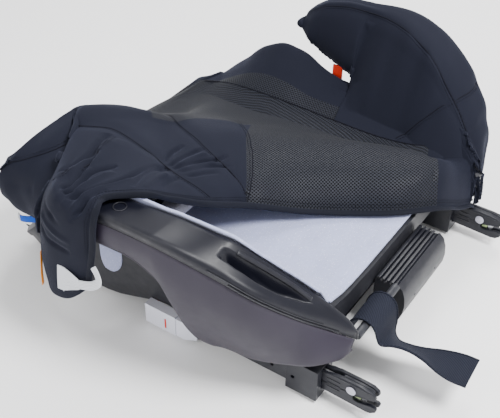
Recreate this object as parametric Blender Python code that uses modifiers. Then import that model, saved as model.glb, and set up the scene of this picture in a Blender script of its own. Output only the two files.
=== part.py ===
"""Backless booster seat with two rigid lower-anchor arms, its padded cover half pulled off.

Frame: metres, +Z up. X = 0 is the mid-plane between the two anchor connectors and +X is the
occupant's left. The seat faces -Y and its connectors point along +Y. Z = 0 is the surface the
seat stands on, and the origin is the centre of the base plate's underside.
"""
import math

import bmesh
import bpy
import numpy as np
from mathutils import Matrix, Vector

# ---------------------------------------------------------------- driving dimensions (metres)
ARM_X = 0.140                 # connector centre plane: the two lower anchors are 280 mm apart
CLEAR = 0.0004                # gap between pieces that touch
SHELL = 0.003                 # wall of the plastic mouldings

PAN_Z = 0.084                 # top of the seat pan
PAN_REAR = 0.1645             # rear wall of the pan
CREASE_X = 0.088              # where the flat pan turns up into the side bolster

PIN_Y, PIN_Z = 0.200, 0.0295  # pivot of the latch hook

CONNECTOR_HALF = 0.0052       # half the width of a connector
HOOK_HALF = 0.0014            # half the thickness of the hook plate
HOOK_SPACE = 0.0018           # half the space between the connector's two halves
CHANNEL_HALF = 0.0093         # half the clear width of the rail
SLEEVE_SPACE = 0.0056         # half the clear width of the moulded sleeve at its end
RAIL_HALF, SLEEVE_HALF = 0.0113, 0.0133

BLOCK_HALF = 0.045            # half the length of the ribbed block at the rear
STRAP_X, STRAP_WIDTH, STRAP_THICK = 0.085, 0.040, 0.0016
BAR_Y, BAR_Z, BAR_R = 0.188, 0.068, 0.004

# Edges of the left arm, as (y, x, z) design points; the right arm mirrors them.
ARM_INNER_LOW = [(-0.048, 0.184, 0.148), (-0.030, 0.184, 0.141), (0.000, 0.184, 0.131),
                 (0.018, 0.180, 0.120), (0.026, 0.163, 0.114), (0.060, 0.160, 0.1145),
                 (0.100, 0.150, 0.109), (0.140, 0.137, 0.100), (0.165, 0.128, 0.090),
                 (0.186, 0.124, 0.076), (0.193, 0.127, 0.074)]
ARM_INNER_TOP = [(-0.048, 0.188, 0.158), (-0.040, 0.187, 0.171), (-0.006, 0.188, 0.181),
                 (0.053, 0.184, 0.181), (0.099, 0.178, 0.176), (0.121, 0.165, 0.156),
                 (0.141, 0.151, 0.135), (0.171, 0.139, 0.112), (0.186, 0.131, 0.095),
                 (0.193, 0.129, 0.084)]
ARM_RIDGE = [(-0.048, 0.208, 0.160), (-0.040, 0.214, 0.173), (-0.006, 0.220, 0.182),
             (0.051, 0.220, 0.184), (0.103, 0.206, 0.164), (0.137, 0.190, 0.142),
             (0.160, 0.166, 0.117), (0.176, 0.148, 0.101), (0.193, 0.132, 0.087)]
PANEL_LOW = [(-0.048, 0.210, 0.150), (-0.008, 0.220, 0.149), (0.019, 0.220, 0.152),
             (0.036, 0.213, 0.138), (0.049, 0.205, 0.115), (0.060, 0.196, 0.074),
             (0.070, 0.188, 0.053), (0.080, 0.181, 0.044), (0.115, 0.175, 0.044),
             (0.147, 0.169, 0.051), (0.176, 0.159, 0.060), (0.187, 0.145, 0.061),
             (0.193, 0.136, 0.068)]
LIP_DROP = 0.009              # the parting line runs this far below the outer ridge

# Crest of the pan's side bolster and lower edge of its side wall, as (y, x, z).
CREST = [(-0.186, 0.140, 0.020), (-0.172, 0.156, 0.042), (-0.153, 0.162, 0.062),
         (-0.118, 0.163, 0.096), (-0.093, 0.163, 0.116), (-0.072, 0.162, 0.124),
         (-0.040, 0.162, 0.121), (-0.020, 0.162, 0.113), (0.010, 0.162, 0.110),
         (0.060, 0.160, 0.112), (0.100, 0.150, 0.107), (0.140, 0.137, 0.098),
         (0.166, 0.127, 0.088)]
WALL_LOW = [(-0.186, 0.134, 0.010), (-0.150, 0.149, 0.006), (-0.090, 0.150, 0.005),
            (-0.055, 0.150, 0.009), (-0.040, 0.150, 0.014), (-0.017, 0.150, 0.022),
            (0.000, 0.150, 0.0275), (0.025, 0.150, 0.0275), (0.034, 0.150, 0.0425),
            (0.166, 0.150, 0.0425)]

PLASTIC = (0.055, 0.056, 0.075)
PANEL_PLASTIC = (0.075, 0.070, 0.088)
STEEL = (0.045, 0.048, 0.060)
COVER_CLOTH = (0.030, 0.034, 0.052)

PARTS = None                  # collection of the finished pieces
CUTTERS = None                # collection of the Boolean cutters


# ---------------------------------------------------------------- scene and material helpers
def clear_scene():
    for obj in list(bpy.data.objects):
        bpy.data.objects.remove(obj, do_unlink=True)


def collection(name):
    made = bpy.data.collections.new(name)
    bpy.context.scene.collection.children.link(made)
    return made


def material(name, colour, roughness=0.5, metallic=0.0):
    made = bpy.data.materials.get(name) or bpy.data.materials.new(name)
    made.use_nodes = True
    shader = made.node_tree.nodes["Principled BSDF"]
    shader.inputs["Base Color"].default_value = (*colour, 1.0)
    shader.inputs["Roughness"].default_value = roughness
    shader.inputs["Metallic"].default_value = metallic
    return made


def add_object(name, data, finish=None, place=None):
    """Link a new object and give it the (colour, roughness, metallic) finish."""
    obj = bpy.data.objects.new(name, data)
    (place or PARTS).objects.link(obj)
    if finish:
        data.materials.append(material(name + "_material", *finish))
    return obj


def mesh_object(name, mesh_bm, finish=None, place=None, smooth=False):
    mesh = bpy.data.meshes.new(name)
    bmesh.ops.recalc_face_normals(mesh_bm, faces=mesh_bm.faces)
    mesh_bm.to_mesh(mesh)
    mesh_bm.free()
    obj = add_object(name, mesh, finish, place)
    if smooth:
        mesh.shade_smooth()
        mesh.set_sharp_from_angle(angle=math.radians(40))
    return obj


def bevelled(obj, width, segments=2):
    modifier = obj.modifiers.new("edge_radius", "BEVEL")
    modifier.width = width
    modifier.segments = segments
    modifier.limit_method = "ANGLE"
    modifier.angle_limit = math.radians(40)
    return obj


def boolean(obj, tool, operation="DIFFERENCE"):
    modifier = obj.modifiers.new("cut", "BOOLEAN")
    modifier.operation = operation
    modifier.solver = "EXACT"
    modifier.object = tool
    tool.hide_render = True
    tool.display_type = "WIRE"
    return obj


# ---------------------------------------------------------------- shape helpers
def box(name, low, high, finish=None, place=None, bevel=0.0):
    """A box between two corners, with its origin at its centre."""
    low, high = Vector(low), Vector(high)
    made = bmesh.new()
    bmesh.ops.create_cube(made, size=1.0)
    bmesh.ops.scale(made, vec=high - low, verts=made.verts)
    obj = mesh_object(name, made, finish, place)
    obj.location = (low + high) / 2
    if bevel:
        bevelled(obj, bevel)
    return obj


def turn_matrix(axis):
    """Rotation that lays the local Z axis along the world axis named."""
    return {"X": Matrix.Rotation(math.pi / 2, 4, "Y"),
            "Y": Matrix.Rotation(-math.pi / 2, 4, "X"),
            "Z": Matrix.Identity(4)}[axis]


def cylinder(name, centre, axis, radius, length, finish=None, place=None, sides=24):
    made = bmesh.new()
    bmesh.ops.create_cone(made, cap_ends=True, segments=sides, radius1=radius, radius2=radius,
                          depth=length)
    obj = mesh_object(name, made, finish, place, smooth=True)
    obj.matrix_world = Matrix.Translation(centre) @ turn_matrix(axis)
    return obj


def turned(name, centre, axis, profile, finish, steps=24):
    """A turned piece: profile is (radius, height) from the top down, on the axis at both ends."""
    made = bmesh.new()
    verts = [made.verts.new((radius, 0.0, height)) for radius, height in profile]
    for first, second in zip(verts, verts[1:]):
        made.edges.new((first, second))
    mesh = bpy.data.meshes.new(name)
    made.to_mesh(mesh)
    made.free()
    obj = add_object(name, mesh, finish)
    screw = obj.modifiers.new("turn", "SCREW")
    screw.steps = steps
    screw.render_steps = steps
    screw.use_merge_vertices = True
    screw.merge_threshold = 0.00001
    obj.matrix_world = Matrix.Translation(centre) @ turn_matrix(axis)
    return obj


def prism(name, outline, x_low, x_high, finish=None, place=None, bevel=0.0):
    """A flat plate: the outline is (y, z) points and the plate spans x_low to x_high."""
    curve = bpy.data.curves.new(name, "CURVE")
    curve.dimensions = "2D"
    curve.fill_mode = "BOTH"
    curve.extrude = (x_high - x_low) / 2
    spline = curve.splines.new("POLY")
    spline.points.add(len(outline) - 1)
    for point, (y, z) in zip(spline.points, outline):
        point.co = (y, z, 0.0, 1.0)
    spline.use_cyclic_u = True
    obj = add_object(name, curve, None, place)
    obj.location = ((x_low + x_high) / 2, 0.0, 0.0)
    obj.rotation_euler = (math.pi / 2, 0.0, math.pi / 2)
    obj = curve_to_mesh(obj, finish)
    if bevel:
        bevelled(obj, bevel)
    return obj


def curve_to_mesh(obj, finish=None):
    """Replace a curve object by its closed mesh, at the same place."""
    bpy.context.view_layer.update()
    name, home, matrix = obj.name, obj.users_collection[0], obj.matrix_world.copy()
    graph = bpy.context.evaluated_depsgraph_get()
    mesh = bpy.data.meshes.new_from_object(obj.evaluated_get(graph))
    bpy.data.objects.remove(obj, do_unlink=True)
    welded = bmesh.new()
    welded.from_mesh(mesh)
    bmesh.ops.remove_doubles(welded, verts=welded.verts, dist=0.00001)
    bmesh.ops.recalc_face_normals(welded, faces=welded.faces)
    welded.to_mesh(mesh)
    welded.free()
    mesh.materials.clear()
    made = add_object(name, mesh, finish, home)
    made.matrix_world = matrix
    return made


def wire(name, points, radius, finish, round_steps=1):
    """A round wire or tube along a list of points, closed at both ends."""
    curve = bpy.data.curves.new(name, "CURVE")
    curve.dimensions = "3D"
    curve.bevel_depth = radius
    curve.bevel_resolution = round_steps
    curve.use_fill_caps = True
    spline = curve.splines.new("POLY")
    spline.points.add(len(points) - 1)
    for point, place in zip(spline.points, points):
        point.co = (*place, 1.0)
    return curve_to_mesh(add_object(name, curve), finish)


def grid(made, rows):
    """Join rows of points, each row as long as the next, into quads."""
    verts = [[made.verts.new(point) for point in row] for row in rows]
    for row, following in zip(verts, verts[1:]):
        for k in range(len(row) - 1):
            made.faces.new((row[k], row[k + 1], following[k + 1], following[k]))
    return verts


def sheet(name, rows, thickness, outside, finish, offset):
    """An open surface made solid. The side that the outside point sees is the outer one."""
    made = bmesh.new()
    grid(made, rows)
    bmesh.ops.recalc_face_normals(made, faces=made.faces)
    outside = Vector(outside)
    nearest = min(made.faces, key=lambda face: (face.calc_center_median() - outside).length)
    if (outside - nearest.calc_center_median()).dot(nearest.normal) < 0:
        bmesh.ops.reverse_faces(made, faces=made.faces)
    mesh = bpy.data.meshes.new(name)
    made.to_mesh(mesh)
    made.free()
    obj = add_object(name, mesh, finish)
    mesh.shade_smooth()
    mesh.set_sharp_from_angle(angle=math.radians(40))
    solidify = obj.modifiers.new("wall", "SOLIDIFY")
    solidify.thickness = thickness
    solidify.offset = offset
    solidify.use_even_offset = True
    return obj


def skin_solid(name, tops, bottoms, finish):
    """A closed solid between an upper and a lower grid of the same shape."""
    made = bmesh.new()
    upper = grid(made, tops)
    lower = grid(made, bottoms)
    last_row, last = len(upper) - 1, len(upper[0]) - 1
    ring = [(0, k) for k in range(last)] + [(r, last) for r in range(last_row)]
    ring += [(last_row, k) for k in range(last, 0, -1)] + [(r, 0) for r in range(last_row, 0, -1)]
    for (r0, k0), (r1, k1) in zip(ring, ring[1:] + ring[:1]):
        made.faces.new((upper[r0][k0], upper[r1][k1], lower[r1][k1], lower[r0][k0]))
    return mesh_object(name, made, finish, smooth=True)


def ease(points, y):
    """Value of a smooth curve through (y, a, b) design points, at y."""
    keys = [point[0] for point in points]
    values = np.array([point[1:] for point in points])
    slopes = np.gradient(values, keys, axis=0)
    y = min(max(y, keys[0]), keys[-1])
    k = min(max(int(np.searchsorted(keys, y)) - 1, 0), len(keys) - 2)
    span = keys[k + 1] - keys[k]
    t = (y - keys[k]) / span
    low, high = values[k], values[k + 1]
    rise = high - low
    first = np.clip(slopes[k] * span, -3 * abs(rise), 3 * abs(rise)) * (rise * slopes[k] > 0)
    second = (np.clip(slopes[k + 1] * span, -3 * abs(rise), 3 * abs(rise))
              * (rise * slopes[k + 1] > 0))
    value = ((2 * t ** 3 - 3 * t ** 2 + 1) * low + (t ** 3 - 2 * t ** 2 + t) * first
             + (3 * t ** 2 - 2 * t ** 3) * high + (t ** 3 - t ** 2) * second)
    return tuple(float(v) for v in value)


def stations(low, high, count):
    return [low + (high - low) * k / (count - 1) for k in range(count)]


def offset_line(points, distance):
    """Move a line of (x, z) points sideways by a distance, to the left of its direction."""
    line = np.array(points)
    along = np.gradient(line, axis=0)
    along /= np.linalg.norm(along, axis=1)[:, None]
    return [(x - distance * dz, z + distance * dx) for (x, z), (dx, dz) in zip(line, along)]


# ---------------------------------------------------------------- pan, base plate and feet
POSTS = [(x, y) for y in (-0.120, 0.125) for x in (-0.080, 0.080)]
FEET = [("front_left", 0.105, -0.130), ("front_right", -0.105, -0.130),
        ("rear_left", 0.105, 0.130), ("rear_right", -0.105, 0.130)]


def pan_level(y):
    """Height of the flat middle of the pan: level, then rounding down over the front edge."""
    return ease([(-0.186, 0.020, 0), (-0.180, 0.052, 0), (-0.168, 0.070, 0), (-0.140, 0.080, 0),
                 (-0.100, PAN_Z, 0), (PAN_REAR, PAN_Z, 0)], y)[0]


def pan_half(y):
    """Half section of the pan at y, (x, z) from its wall's lower edge in to the middle."""
    low_x, low_z = ease(WALL_LOW, y)
    crest_x, crest_z = ease(CREST, y)
    level = pan_level(y)
    crease_x = min(CREASE_X, crest_x - 0.035)
    drop = max(crest_z - level, 0.0)
    return [(low_x, low_z),
            (low_x + 0.55 * (crest_x - low_x), low_z + 0.55 * (crest_z - low_z)),
            (crest_x, crest_z - 0.006),
            (crest_x - 0.003, crest_z - 0.001),
            (crest_x - 0.010, crest_z),
            (crease_x + 0.66 * (crest_x - 0.010 - crease_x), level + 0.62 * drop),
            (crease_x + 0.30 * (crest_x - 0.010 - crease_x), level + 0.20 * drop),
            (crease_x, level),
            (crease_x * 0.5, level - 0.002),
            (0.0, level - 0.002)]


def pan_row(y):
    half = pan_half(y)
    return ([(x, y, z) for x, z in half] + [(-x, y, z) for x, z in reversed(half[:-1])])


PAN_STATIONS = stations(-0.186, 0.158, 22)
PAN_FRONT_X = (0.1335, 0.1325, 0.1310, 0.1280, 0.1220, 0.1120, 0.1000, 0.0850, 0.0430, 0.0)


def seat_pan():
    rows = [pan_row(y) for y in PAN_STATIONS]
    low = 0.0435
    rear = []
    for x, y, z in pan_row(0.163):
        rear.append((x, 0.163, max(z - 0.002, low)))
    rows.append(rear)
    rows.append([(x, PAN_REAR, low if z <= low + 0.001 else low + 0.45 * (z - low))
                 for x, y, z in rear])
    front = [(x, -0.189, 0.010) for x in PAN_FRONT_X]
    rows.insert(0, front + [(-x, y, z) for x, y, z in reversed(front[:-1])])
    pan = sheet("seat_pan", rows, SHELL, (0.0, 0.0, 1.0), (PLASTIC, 0.45, 0.0), -1.0)
    for x, y in POSTS:
        post = cylinder("post_tool", (x, y, 0.0428), "Z", 0.0060, 0.0766, None, CUTTERS, 16)
        boolean(pan, post, "UNION")
        hole = cylinder("post_hole_tool", (x, y, 0.010), "Z", 0.0020, 0.0280, None, CUTTERS, 12)
        boolean(pan, hole)
    return pan


def base_plate():
    """Thin floor under the pan, with a raised flat pad that the seat stands on."""
    plate = box("base_plate", (-0.118, -0.160, 0.0030), (0.118, 0.142, 0.0042),
                ((0.050, 0.052, 0.066), 0.55, 0.0))
    boss = box("boss_tool", (-0.040, -0.030, 0.0), (0.040, 0.030, 0.0038), None, CUTTERS)
    boolean(plate, boss, "UNION")
    for x, y in POSTS:
        boolean(plate, cylinder("screw_hole_tool", (x, y, 0.004), "Z", 0.0023, 0.010, None,
                                CUTTERS, 12))
    for name, x, y in FEET:
        boolean(plate, cylinder("foot_hole_tool", (x, y, 0.004), "Z", 0.0042, 0.010, None,
                                CUTTERS, 12))


def base_screws():
    """Pan-head screws, driven up through the plate into the pan's posts."""
    profile = [(0.0, 0.0150), (0.0016, 0.0146), (0.0016, 0.0024), (0.0040, 0.0024),
               (0.0038, 0.0010), (0.0020, 0.0005), (0.0, 0.0005)]
    for number, (x, y) in enumerate(POSTS, 1):
        turned(f"base_screw_{number}", (x, y, 0.0), "Z", profile,
               ((0.35, 0.36, 0.38), 0.35, 0.9), 16)


def feet():
    """Rubber feet with stems that push through the base plate."""
    profile = [(0.0, 0.0080), (0.0037, 0.0080), (0.0037, 0.0026), (0.0130, 0.0026),
               (0.0140, 0.0016), (0.0140, 0.0003), (0.0137, 0.0), (0.0, 0.0)]
    for name, x, y in FEET:
        turned("foot_" + name, (x, y, 0.0), "Z", profile, ((0.02, 0.02, 0.022), 0.85, 0.0), 20)


# ---------------------------------------------------------------- armrests and side panels
def arm_line(y):
    """(x, z) line over an arm at y: up the inner wall, over the top and down to the parting."""
    low = ease(ARM_INNER_LOW, y)
    inner = ease(ARM_INNER_TOP, y)
    ridge = ease(ARM_RIDGE, y)
    drop = min(LIP_DROP, 0.5 * (ridge[1] - ease(PANEL_LOW, y)[1]))
    soft = 0.0035
    return [low,
            (low[0] + 0.5 * (inner[0] - low[0]) + 0.002, low[1] + 0.5 * (inner[1] - low[1])),
            (inner[0] - 0.0008, inner[1] - soft),
            (inner[0] + soft, inner[1] + 0.0003),
            (0.5 * (inner[0] + ridge[0]), 0.5 * (inner[1] + ridge[1]) + 0.001),
            (ridge[0] - soft, ridge[1]),
            (ridge[0], ridge[1] - soft),
            (ridge[0] + 0.0004, ridge[1] - drop)]


def panel_line(y, gap=CLEAR):
    """(x, z) line down the side panel at y, from just under the parting to its lower edge."""
    top = arm_line(y)[-1]
    low = ease(PANEL_LOW, y)
    top = (top[0], top[1] - gap)
    depth = top[1] - low[1]
    middle = (max(top[0], low[0]) + min(0.004, 0.2 * depth), low[1] + 0.55 * depth)
    line = []
    for t in (0.0, 0.25, 0.5, 0.75, 1.0):
        weights = ((1 - t) ** 2, 2 * t * (1 - t), t ** 2)
        line.append(tuple(sum(w * p[k] for w, p in zip(weights, (top, middle, low)))
                          for k in (0, 1)))
    return line


ARM_STATIONS = [-0.048, -0.040, -0.028, -0.006, 0.012, 0.019, 0.028, 0.038, 0.049, 0.056,
                0.063, 0.070, 0.080, 0.099, 0.110, 0.121, 0.134, 0.147, 0.160, 0.171, 0.180,
                0.187, 0.1925]


def mirror_row(row, side):
    return [(side * x, y, z) for x, y, z in row]


def armrest(label, side):
    rows = []
    tip = arm_line(ARM_STATIONS[0])
    centre = (sum(x for x, z in tip) / len(tip), sum(z for x, z in tip) / len(tip) - 0.003)
    rows.append(mirror_row([(centre[0] + 0.35 * (x - centre[0]), -0.0520,
                             centre[1] + 0.35 * (z - centre[1])) for x, z in tip], side))
    for y in ARM_STATIONS:
        rows.append(mirror_row([(x, y, z) for x, z in arm_line(y)], side))
    outside = (side * 0.20, 0.05, 1.0)
    return sheet(label + "_armrest", rows, 0.0026, outside, (PLASTIC, 0.38, 0.0), -1.0)


def side_panel(label, side):
    rows = [mirror_row([(x, y, z) for x, z in panel_line(y)], side) for y in ARM_STATIONS]
    outside = (side * 1.0, 0.06, 0.1)
    return sheet(label + "_side_panel", rows, 0.0024, outside, (PANEL_PLASTIC, 0.45, 0.0), -1.0)


# ---------------------------------------------------------------- rear block, bar and strap
def rear_block():
    """Moulded block behind the pan: cross ribs on top and a rounded, pierced rear face."""
    ribs = [(0.1660, 0.066), (0.1675, 0.069)]
    for k in range(4):
        start = 0.1690 + 0.0045 * k
        ribs += [(start, 0.0700), (start + 0.0022, 0.0700), (start + 0.0024, 0.0668),
                 (start + 0.0043, 0.0668)]
    back = [(0.1895, 0.0690), (0.1945, 0.0650), (0.1975, 0.0570), (0.1985, 0.0470),
            (0.1975, 0.0370), (0.1945, 0.0280), (0.1910, 0.0240)]
    outline = [(0.1660, 0.0240)] + ribs + back
    outline.reverse()
    block = prism("rear_block", outline, -BLOCK_HALF, BLOCK_HALF, (PLASTIC, 0.42, 0.0))
    for x in (-0.022, 0.022):
        boolean(block, cylinder("block_hole_tool", (x, 0.1985, 0.045), "Y", 0.0015, 0.012, None,
                                CUTTERS, 12))


def strap_bar():
    turned("strap_bar", (0.5 * (0.0456 + 0.1200), BAR_Y, BAR_Z), "X",
           [(0.0, 0.0372), (BAR_R - 0.0005, 0.0372), (BAR_R, 0.0367), (BAR_R, -0.0367),
            (BAR_R - 0.0005, -0.0372), (0.0, -0.0372)], (STEEL, 0.3, 0.8))


STRAP_PATH = [  # (y, z, roll in degrees, sideways shift)
    (0.1675, 0.0400, 0, 0), (0.1700, 0.0560, 0, 0), (0.1745, 0.0668, 0, 0),
    (0.1810, 0.0728, 0, 0), (0.1880, 0.0742, 0, 0), (0.1940, 0.0720, 0, 0),
    (0.1985, 0.0660, 0, 0), (0.2008, 0.0580, 2, 0), (0.2030, 0.0505, 8, 0),
    (0.2075, 0.0450, 20, -0.001), (0.2150, 0.0415, 30, -0.002), (0.2250, 0.0395, 32, -0.004),
    (0.2370, 0.0380, 29, -0.006), (0.2510, 0.0370, 24, -0.008), (0.2660, 0.0360, 19, -0.010),
    (0.2800, 0.0350, 16, -0.012)]


def webbing_strap():
    """Flat strap over the bar, its free tail turning as it leaves the seat."""
    path = [Vector((STRAP_X + shift, y, z)) for y, z, roll, shift in STRAP_PATH]
    tops, bottoms = [], []
    for k, (y, z, roll, shift) in enumerate(STRAP_PATH):
        along = (path[min(k + 1, len(path) - 1)] - path[max(k - 1, 0)]).normalized()
        turn = Matrix.Rotation(math.radians(roll), 3, -along)
        wide = turn @ Vector((1.0, 0.0, 0.0))
        face = wide.cross(along).normalized()
        half = wide * STRAP_WIDTH / 2
        lift = face * STRAP_THICK / 2
        tops.append([path[k] - half + lift, path[k] + half + lift])
        bottoms.append([path[k] - half - lift, path[k] + half - lift])
    skin_solid("webbing_strap", tops, bottoms, ((0.040, 0.045, 0.065), 0.8, 0.0))


# ---------------------------------------------------------------- anchor arms, rails and latches
CONNECTOR_SIDE = [(0.038, 0.0132), (0.1740, 0.0132), (0.2140, 0.0118), (0.2205, 0.0130),
                  (0.2245, 0.0165), (0.2250, 0.0195), (0.2235, 0.0212), (0.2180, 0.0212),
                  (0.2060, 0.0185), (0.2032, 0.0192), (0.2016, 0.0215), (0.2026, 0.0240),
                  (0.2060, 0.0250), (0.2170, 0.0276), (0.2215, 0.0288), (0.2235, 0.0315),
                  (0.2225, 0.0352), (0.2185, 0.0378), (0.2080, 0.0388), (0.1850, 0.0388),
                  (0.1760, 0.0360), (0.038, 0.0360)]
HOOK_SIDE = [(0.1950, 0.0340), (0.1944, 0.0268), (0.1978, 0.0246), (0.2040, 0.0258),
             (0.2086, 0.0258), (0.2092, 0.0205), (0.2113, 0.0190), (0.2138, 0.0205),
             (0.2148, 0.0262), (0.2125, 0.0290), (0.2050, 0.0325), (0.1990, 0.0340)]


def helix(start, axis, radius, turns, length, per_turn=8):
    """Points of a coil from a start point along X or Y."""
    points = []
    for k in range(int(turns * per_turn) + 1):
        angle = 2 * math.pi * k / per_turn
        along = length * k / (turns * per_turn)
        across = (radius * math.cos(angle), radius * math.sin(angle))
        if axis == "Y":
            points.append((start[0] + across[0], start[1] + along, start[2] + across[1]))
        else:
            points.append((start[0] + along, start[1] + across[0], start[2] + across[1]))
    return points


def rail(label, side):
    """U channel, open at the top, that the anchor arm slides in."""
    centre = side * ARM_X
    outer = box(label + "_rail", (centre - RAIL_HALF, 0.0360, 0.0106),
                (centre + RAIL_HALF, 0.1384, 0.0340), (STEEL, 0.35, 0.7))
    inner = box("rail_tool", (centre - CHANNEL_HALF, 0.0300, 0.0126),
                (centre + CHANNEL_HALF, 0.1500, 0.0500), None, CUTTERS)
    boolean(outer, inner)
    boolean(outer, cylinder("rail_hole_tool", (centre + side * RAIL_HALF, 0.123, 0.020), "X",
                            0.0020, 0.010, None, CUTTERS, 12))


def guide_bracket(label, side):
    """Sleeve at the rear end of the rail, with a foot below it."""
    centre = side * ARM_X
    sleeve = box(label + "_guide_bracket", (centre - SLEEVE_HALF, 0.1390, 0.0030),
                 (centre + SLEEVE_HALF, 0.1710, 0.0395), (STEEL, 0.42, 0.5))
    boolean(sleeve, box("sleeve_tool", (centre - SLEEVE_SPACE, 0.1300, 0.0124),
                        (centre + SLEEVE_SPACE, 0.1800, 0.0368), None, CUTTERS))
    boolean(sleeve, cylinder("sleeve_hole_tool", (centre + side * SLEEVE_HALF, 0.146, 0.020),
                             "X", 0.0020, 0.010, None, CUTTERS, 12))


def slide_arm(label, side, joint):
    """Flat steel bar through the middle of the connector, with lock notches along it."""
    centre = side * ARM_X
    bar = box(label + "_slide_arm", (centre - HOOK_HALF, 0.0000, 0.0150),
              (centre + HOOK_HALF, 0.1860, 0.0335), ((0.30, 0.31, 0.33), 0.3, 0.95))
    for k in range(3):
        y = 0.0060 + 0.0120 * k
        edge = centre + side * HOOK_HALF
        boolean(bar, box("notch_tool", (edge - 0.0015, y, 0.0100),
                         (edge + 0.0015, y + 0.0050, 0.0190), None, CUTTERS))
    bar.parent = joint
    bar.matrix_parent_inverse = joint.matrix_world.inverted()


def connector_half(name, x_low, x_high, joint):
    half = prism(name, list(reversed(CONNECTOR_SIDE)), x_low, x_high, (PLASTIC, 0.35, 0.0))
    hole = cylinder("pin_hole_tool", ((x_low + x_high) / 2, PIN_Y, PIN_Z), "X", 0.0033, 0.020,
                    None, CUTTERS, 16)
    boolean(half, hole)
    half.parent = joint
    half.matrix_parent_inverse = joint.matrix_world.inverted()
    return half


def connector(label, side, joint):
    centre = side * ARM_X
    near = sorted((centre + side * HOOK_SPACE, centre + side * CONNECTOR_HALF))
    far = sorted((centre - side * HOOK_SPACE, centre - side * CONNECTOR_HALF))
    outer = connector_half(label + "_connector_outer", *near, joint)
    connector_half(label + "_connector_inner", *far, joint)
    bridge = prism("bridge_tool", [(0.2205, 0.0350), (0.2178, 0.0371), (0.2080, 0.0381),
                                   (0.1900, 0.0381), (0.1880, 0.0366), (0.2100, 0.0362)],
                   *sorted((centre - side * (HOOK_SPACE - CLEAR), centre + side * 0.0030)),
                   None, CUTTERS)
    boolean(outer, bridge, "UNION")
    shank, cap = CONNECTOR_HALF + CLEAR, CONNECTOR_HALF + 0.0013
    pin_profile = [(0.0, cap), (0.0040, cap), (0.0046, cap - CLEAR), (0.0046, shank),
                   (0.0030, shank), (0.0030, -shank), (0.0046, -shank), (0.0046, CLEAR - cap),
                   (0.0040, -cap), (0.0, -cap)]
    pin = turned(label + "_hook_pin", (centre, PIN_Y, PIN_Z), "X", pin_profile,
                 ((0.52, 0.53, 0.58), 0.4, 0.6), 20)
    indicator = box(label + "_latch_indicator", (centre - HOOK_HALF, 0.2026, 0.0192),
                    (centre + HOOK_HALF, 0.2082, 0.0242), ((0.42, 0.53, 0.26), 0.5, 0.0))
    spring = wire(label + "_hook_spring", helix((centre, 0.1870, 0.0295), "Y", 0.0010, 4, 0.0062),
                  0.00030, ((0.55, 0.56, 0.58), 0.3, 1.0))
    for piece in (pin, indicator, spring):
        piece.parent = joint
        piece.matrix_parent_inverse = joint.matrix_world.inverted()


def latch_hook(label, side, joint):
    """The hook that closes the slot. Its parent empty lies on the pin's axis."""
    centre = side * ARM_X
    hinge = bpy.data.objects.new(label + "_hook_axis", None)
    PARTS.objects.link(hinge)
    hinge.location = (centre, PIN_Y, PIN_Z)
    bpy.context.view_layer.update()
    hook = prism(label + "_latch_hook", HOOK_SIDE, centre - HOOK_HALF,
                 centre + HOOK_HALF, ((0.40, 0.41, 0.44), 0.3, 0.95))
    boolean(hook, cylinder("hook_hole_tool", (centre, PIN_Y, PIN_Z), "X", 0.0033, 0.012, None,
                           CUTTERS, 16))
    hook.parent = hinge
    hook.matrix_parent_inverse = hinge.matrix_world.inverted()


# ---------------------------------------------------------------- arm release box
HOUSING_Y = (-0.015, 0.0210)
HOUSING_Z = (0.0030, 0.0268)
HOUSING_X = (0.1508, 0.1605)
BUTTON_Y = (0.0216, 0.0310)
ROCKER_PIN_Y = 0.0040
ROCKER_X = 0.1545


def span(side, first, second):
    return sorted((side * first, side * second))


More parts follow.
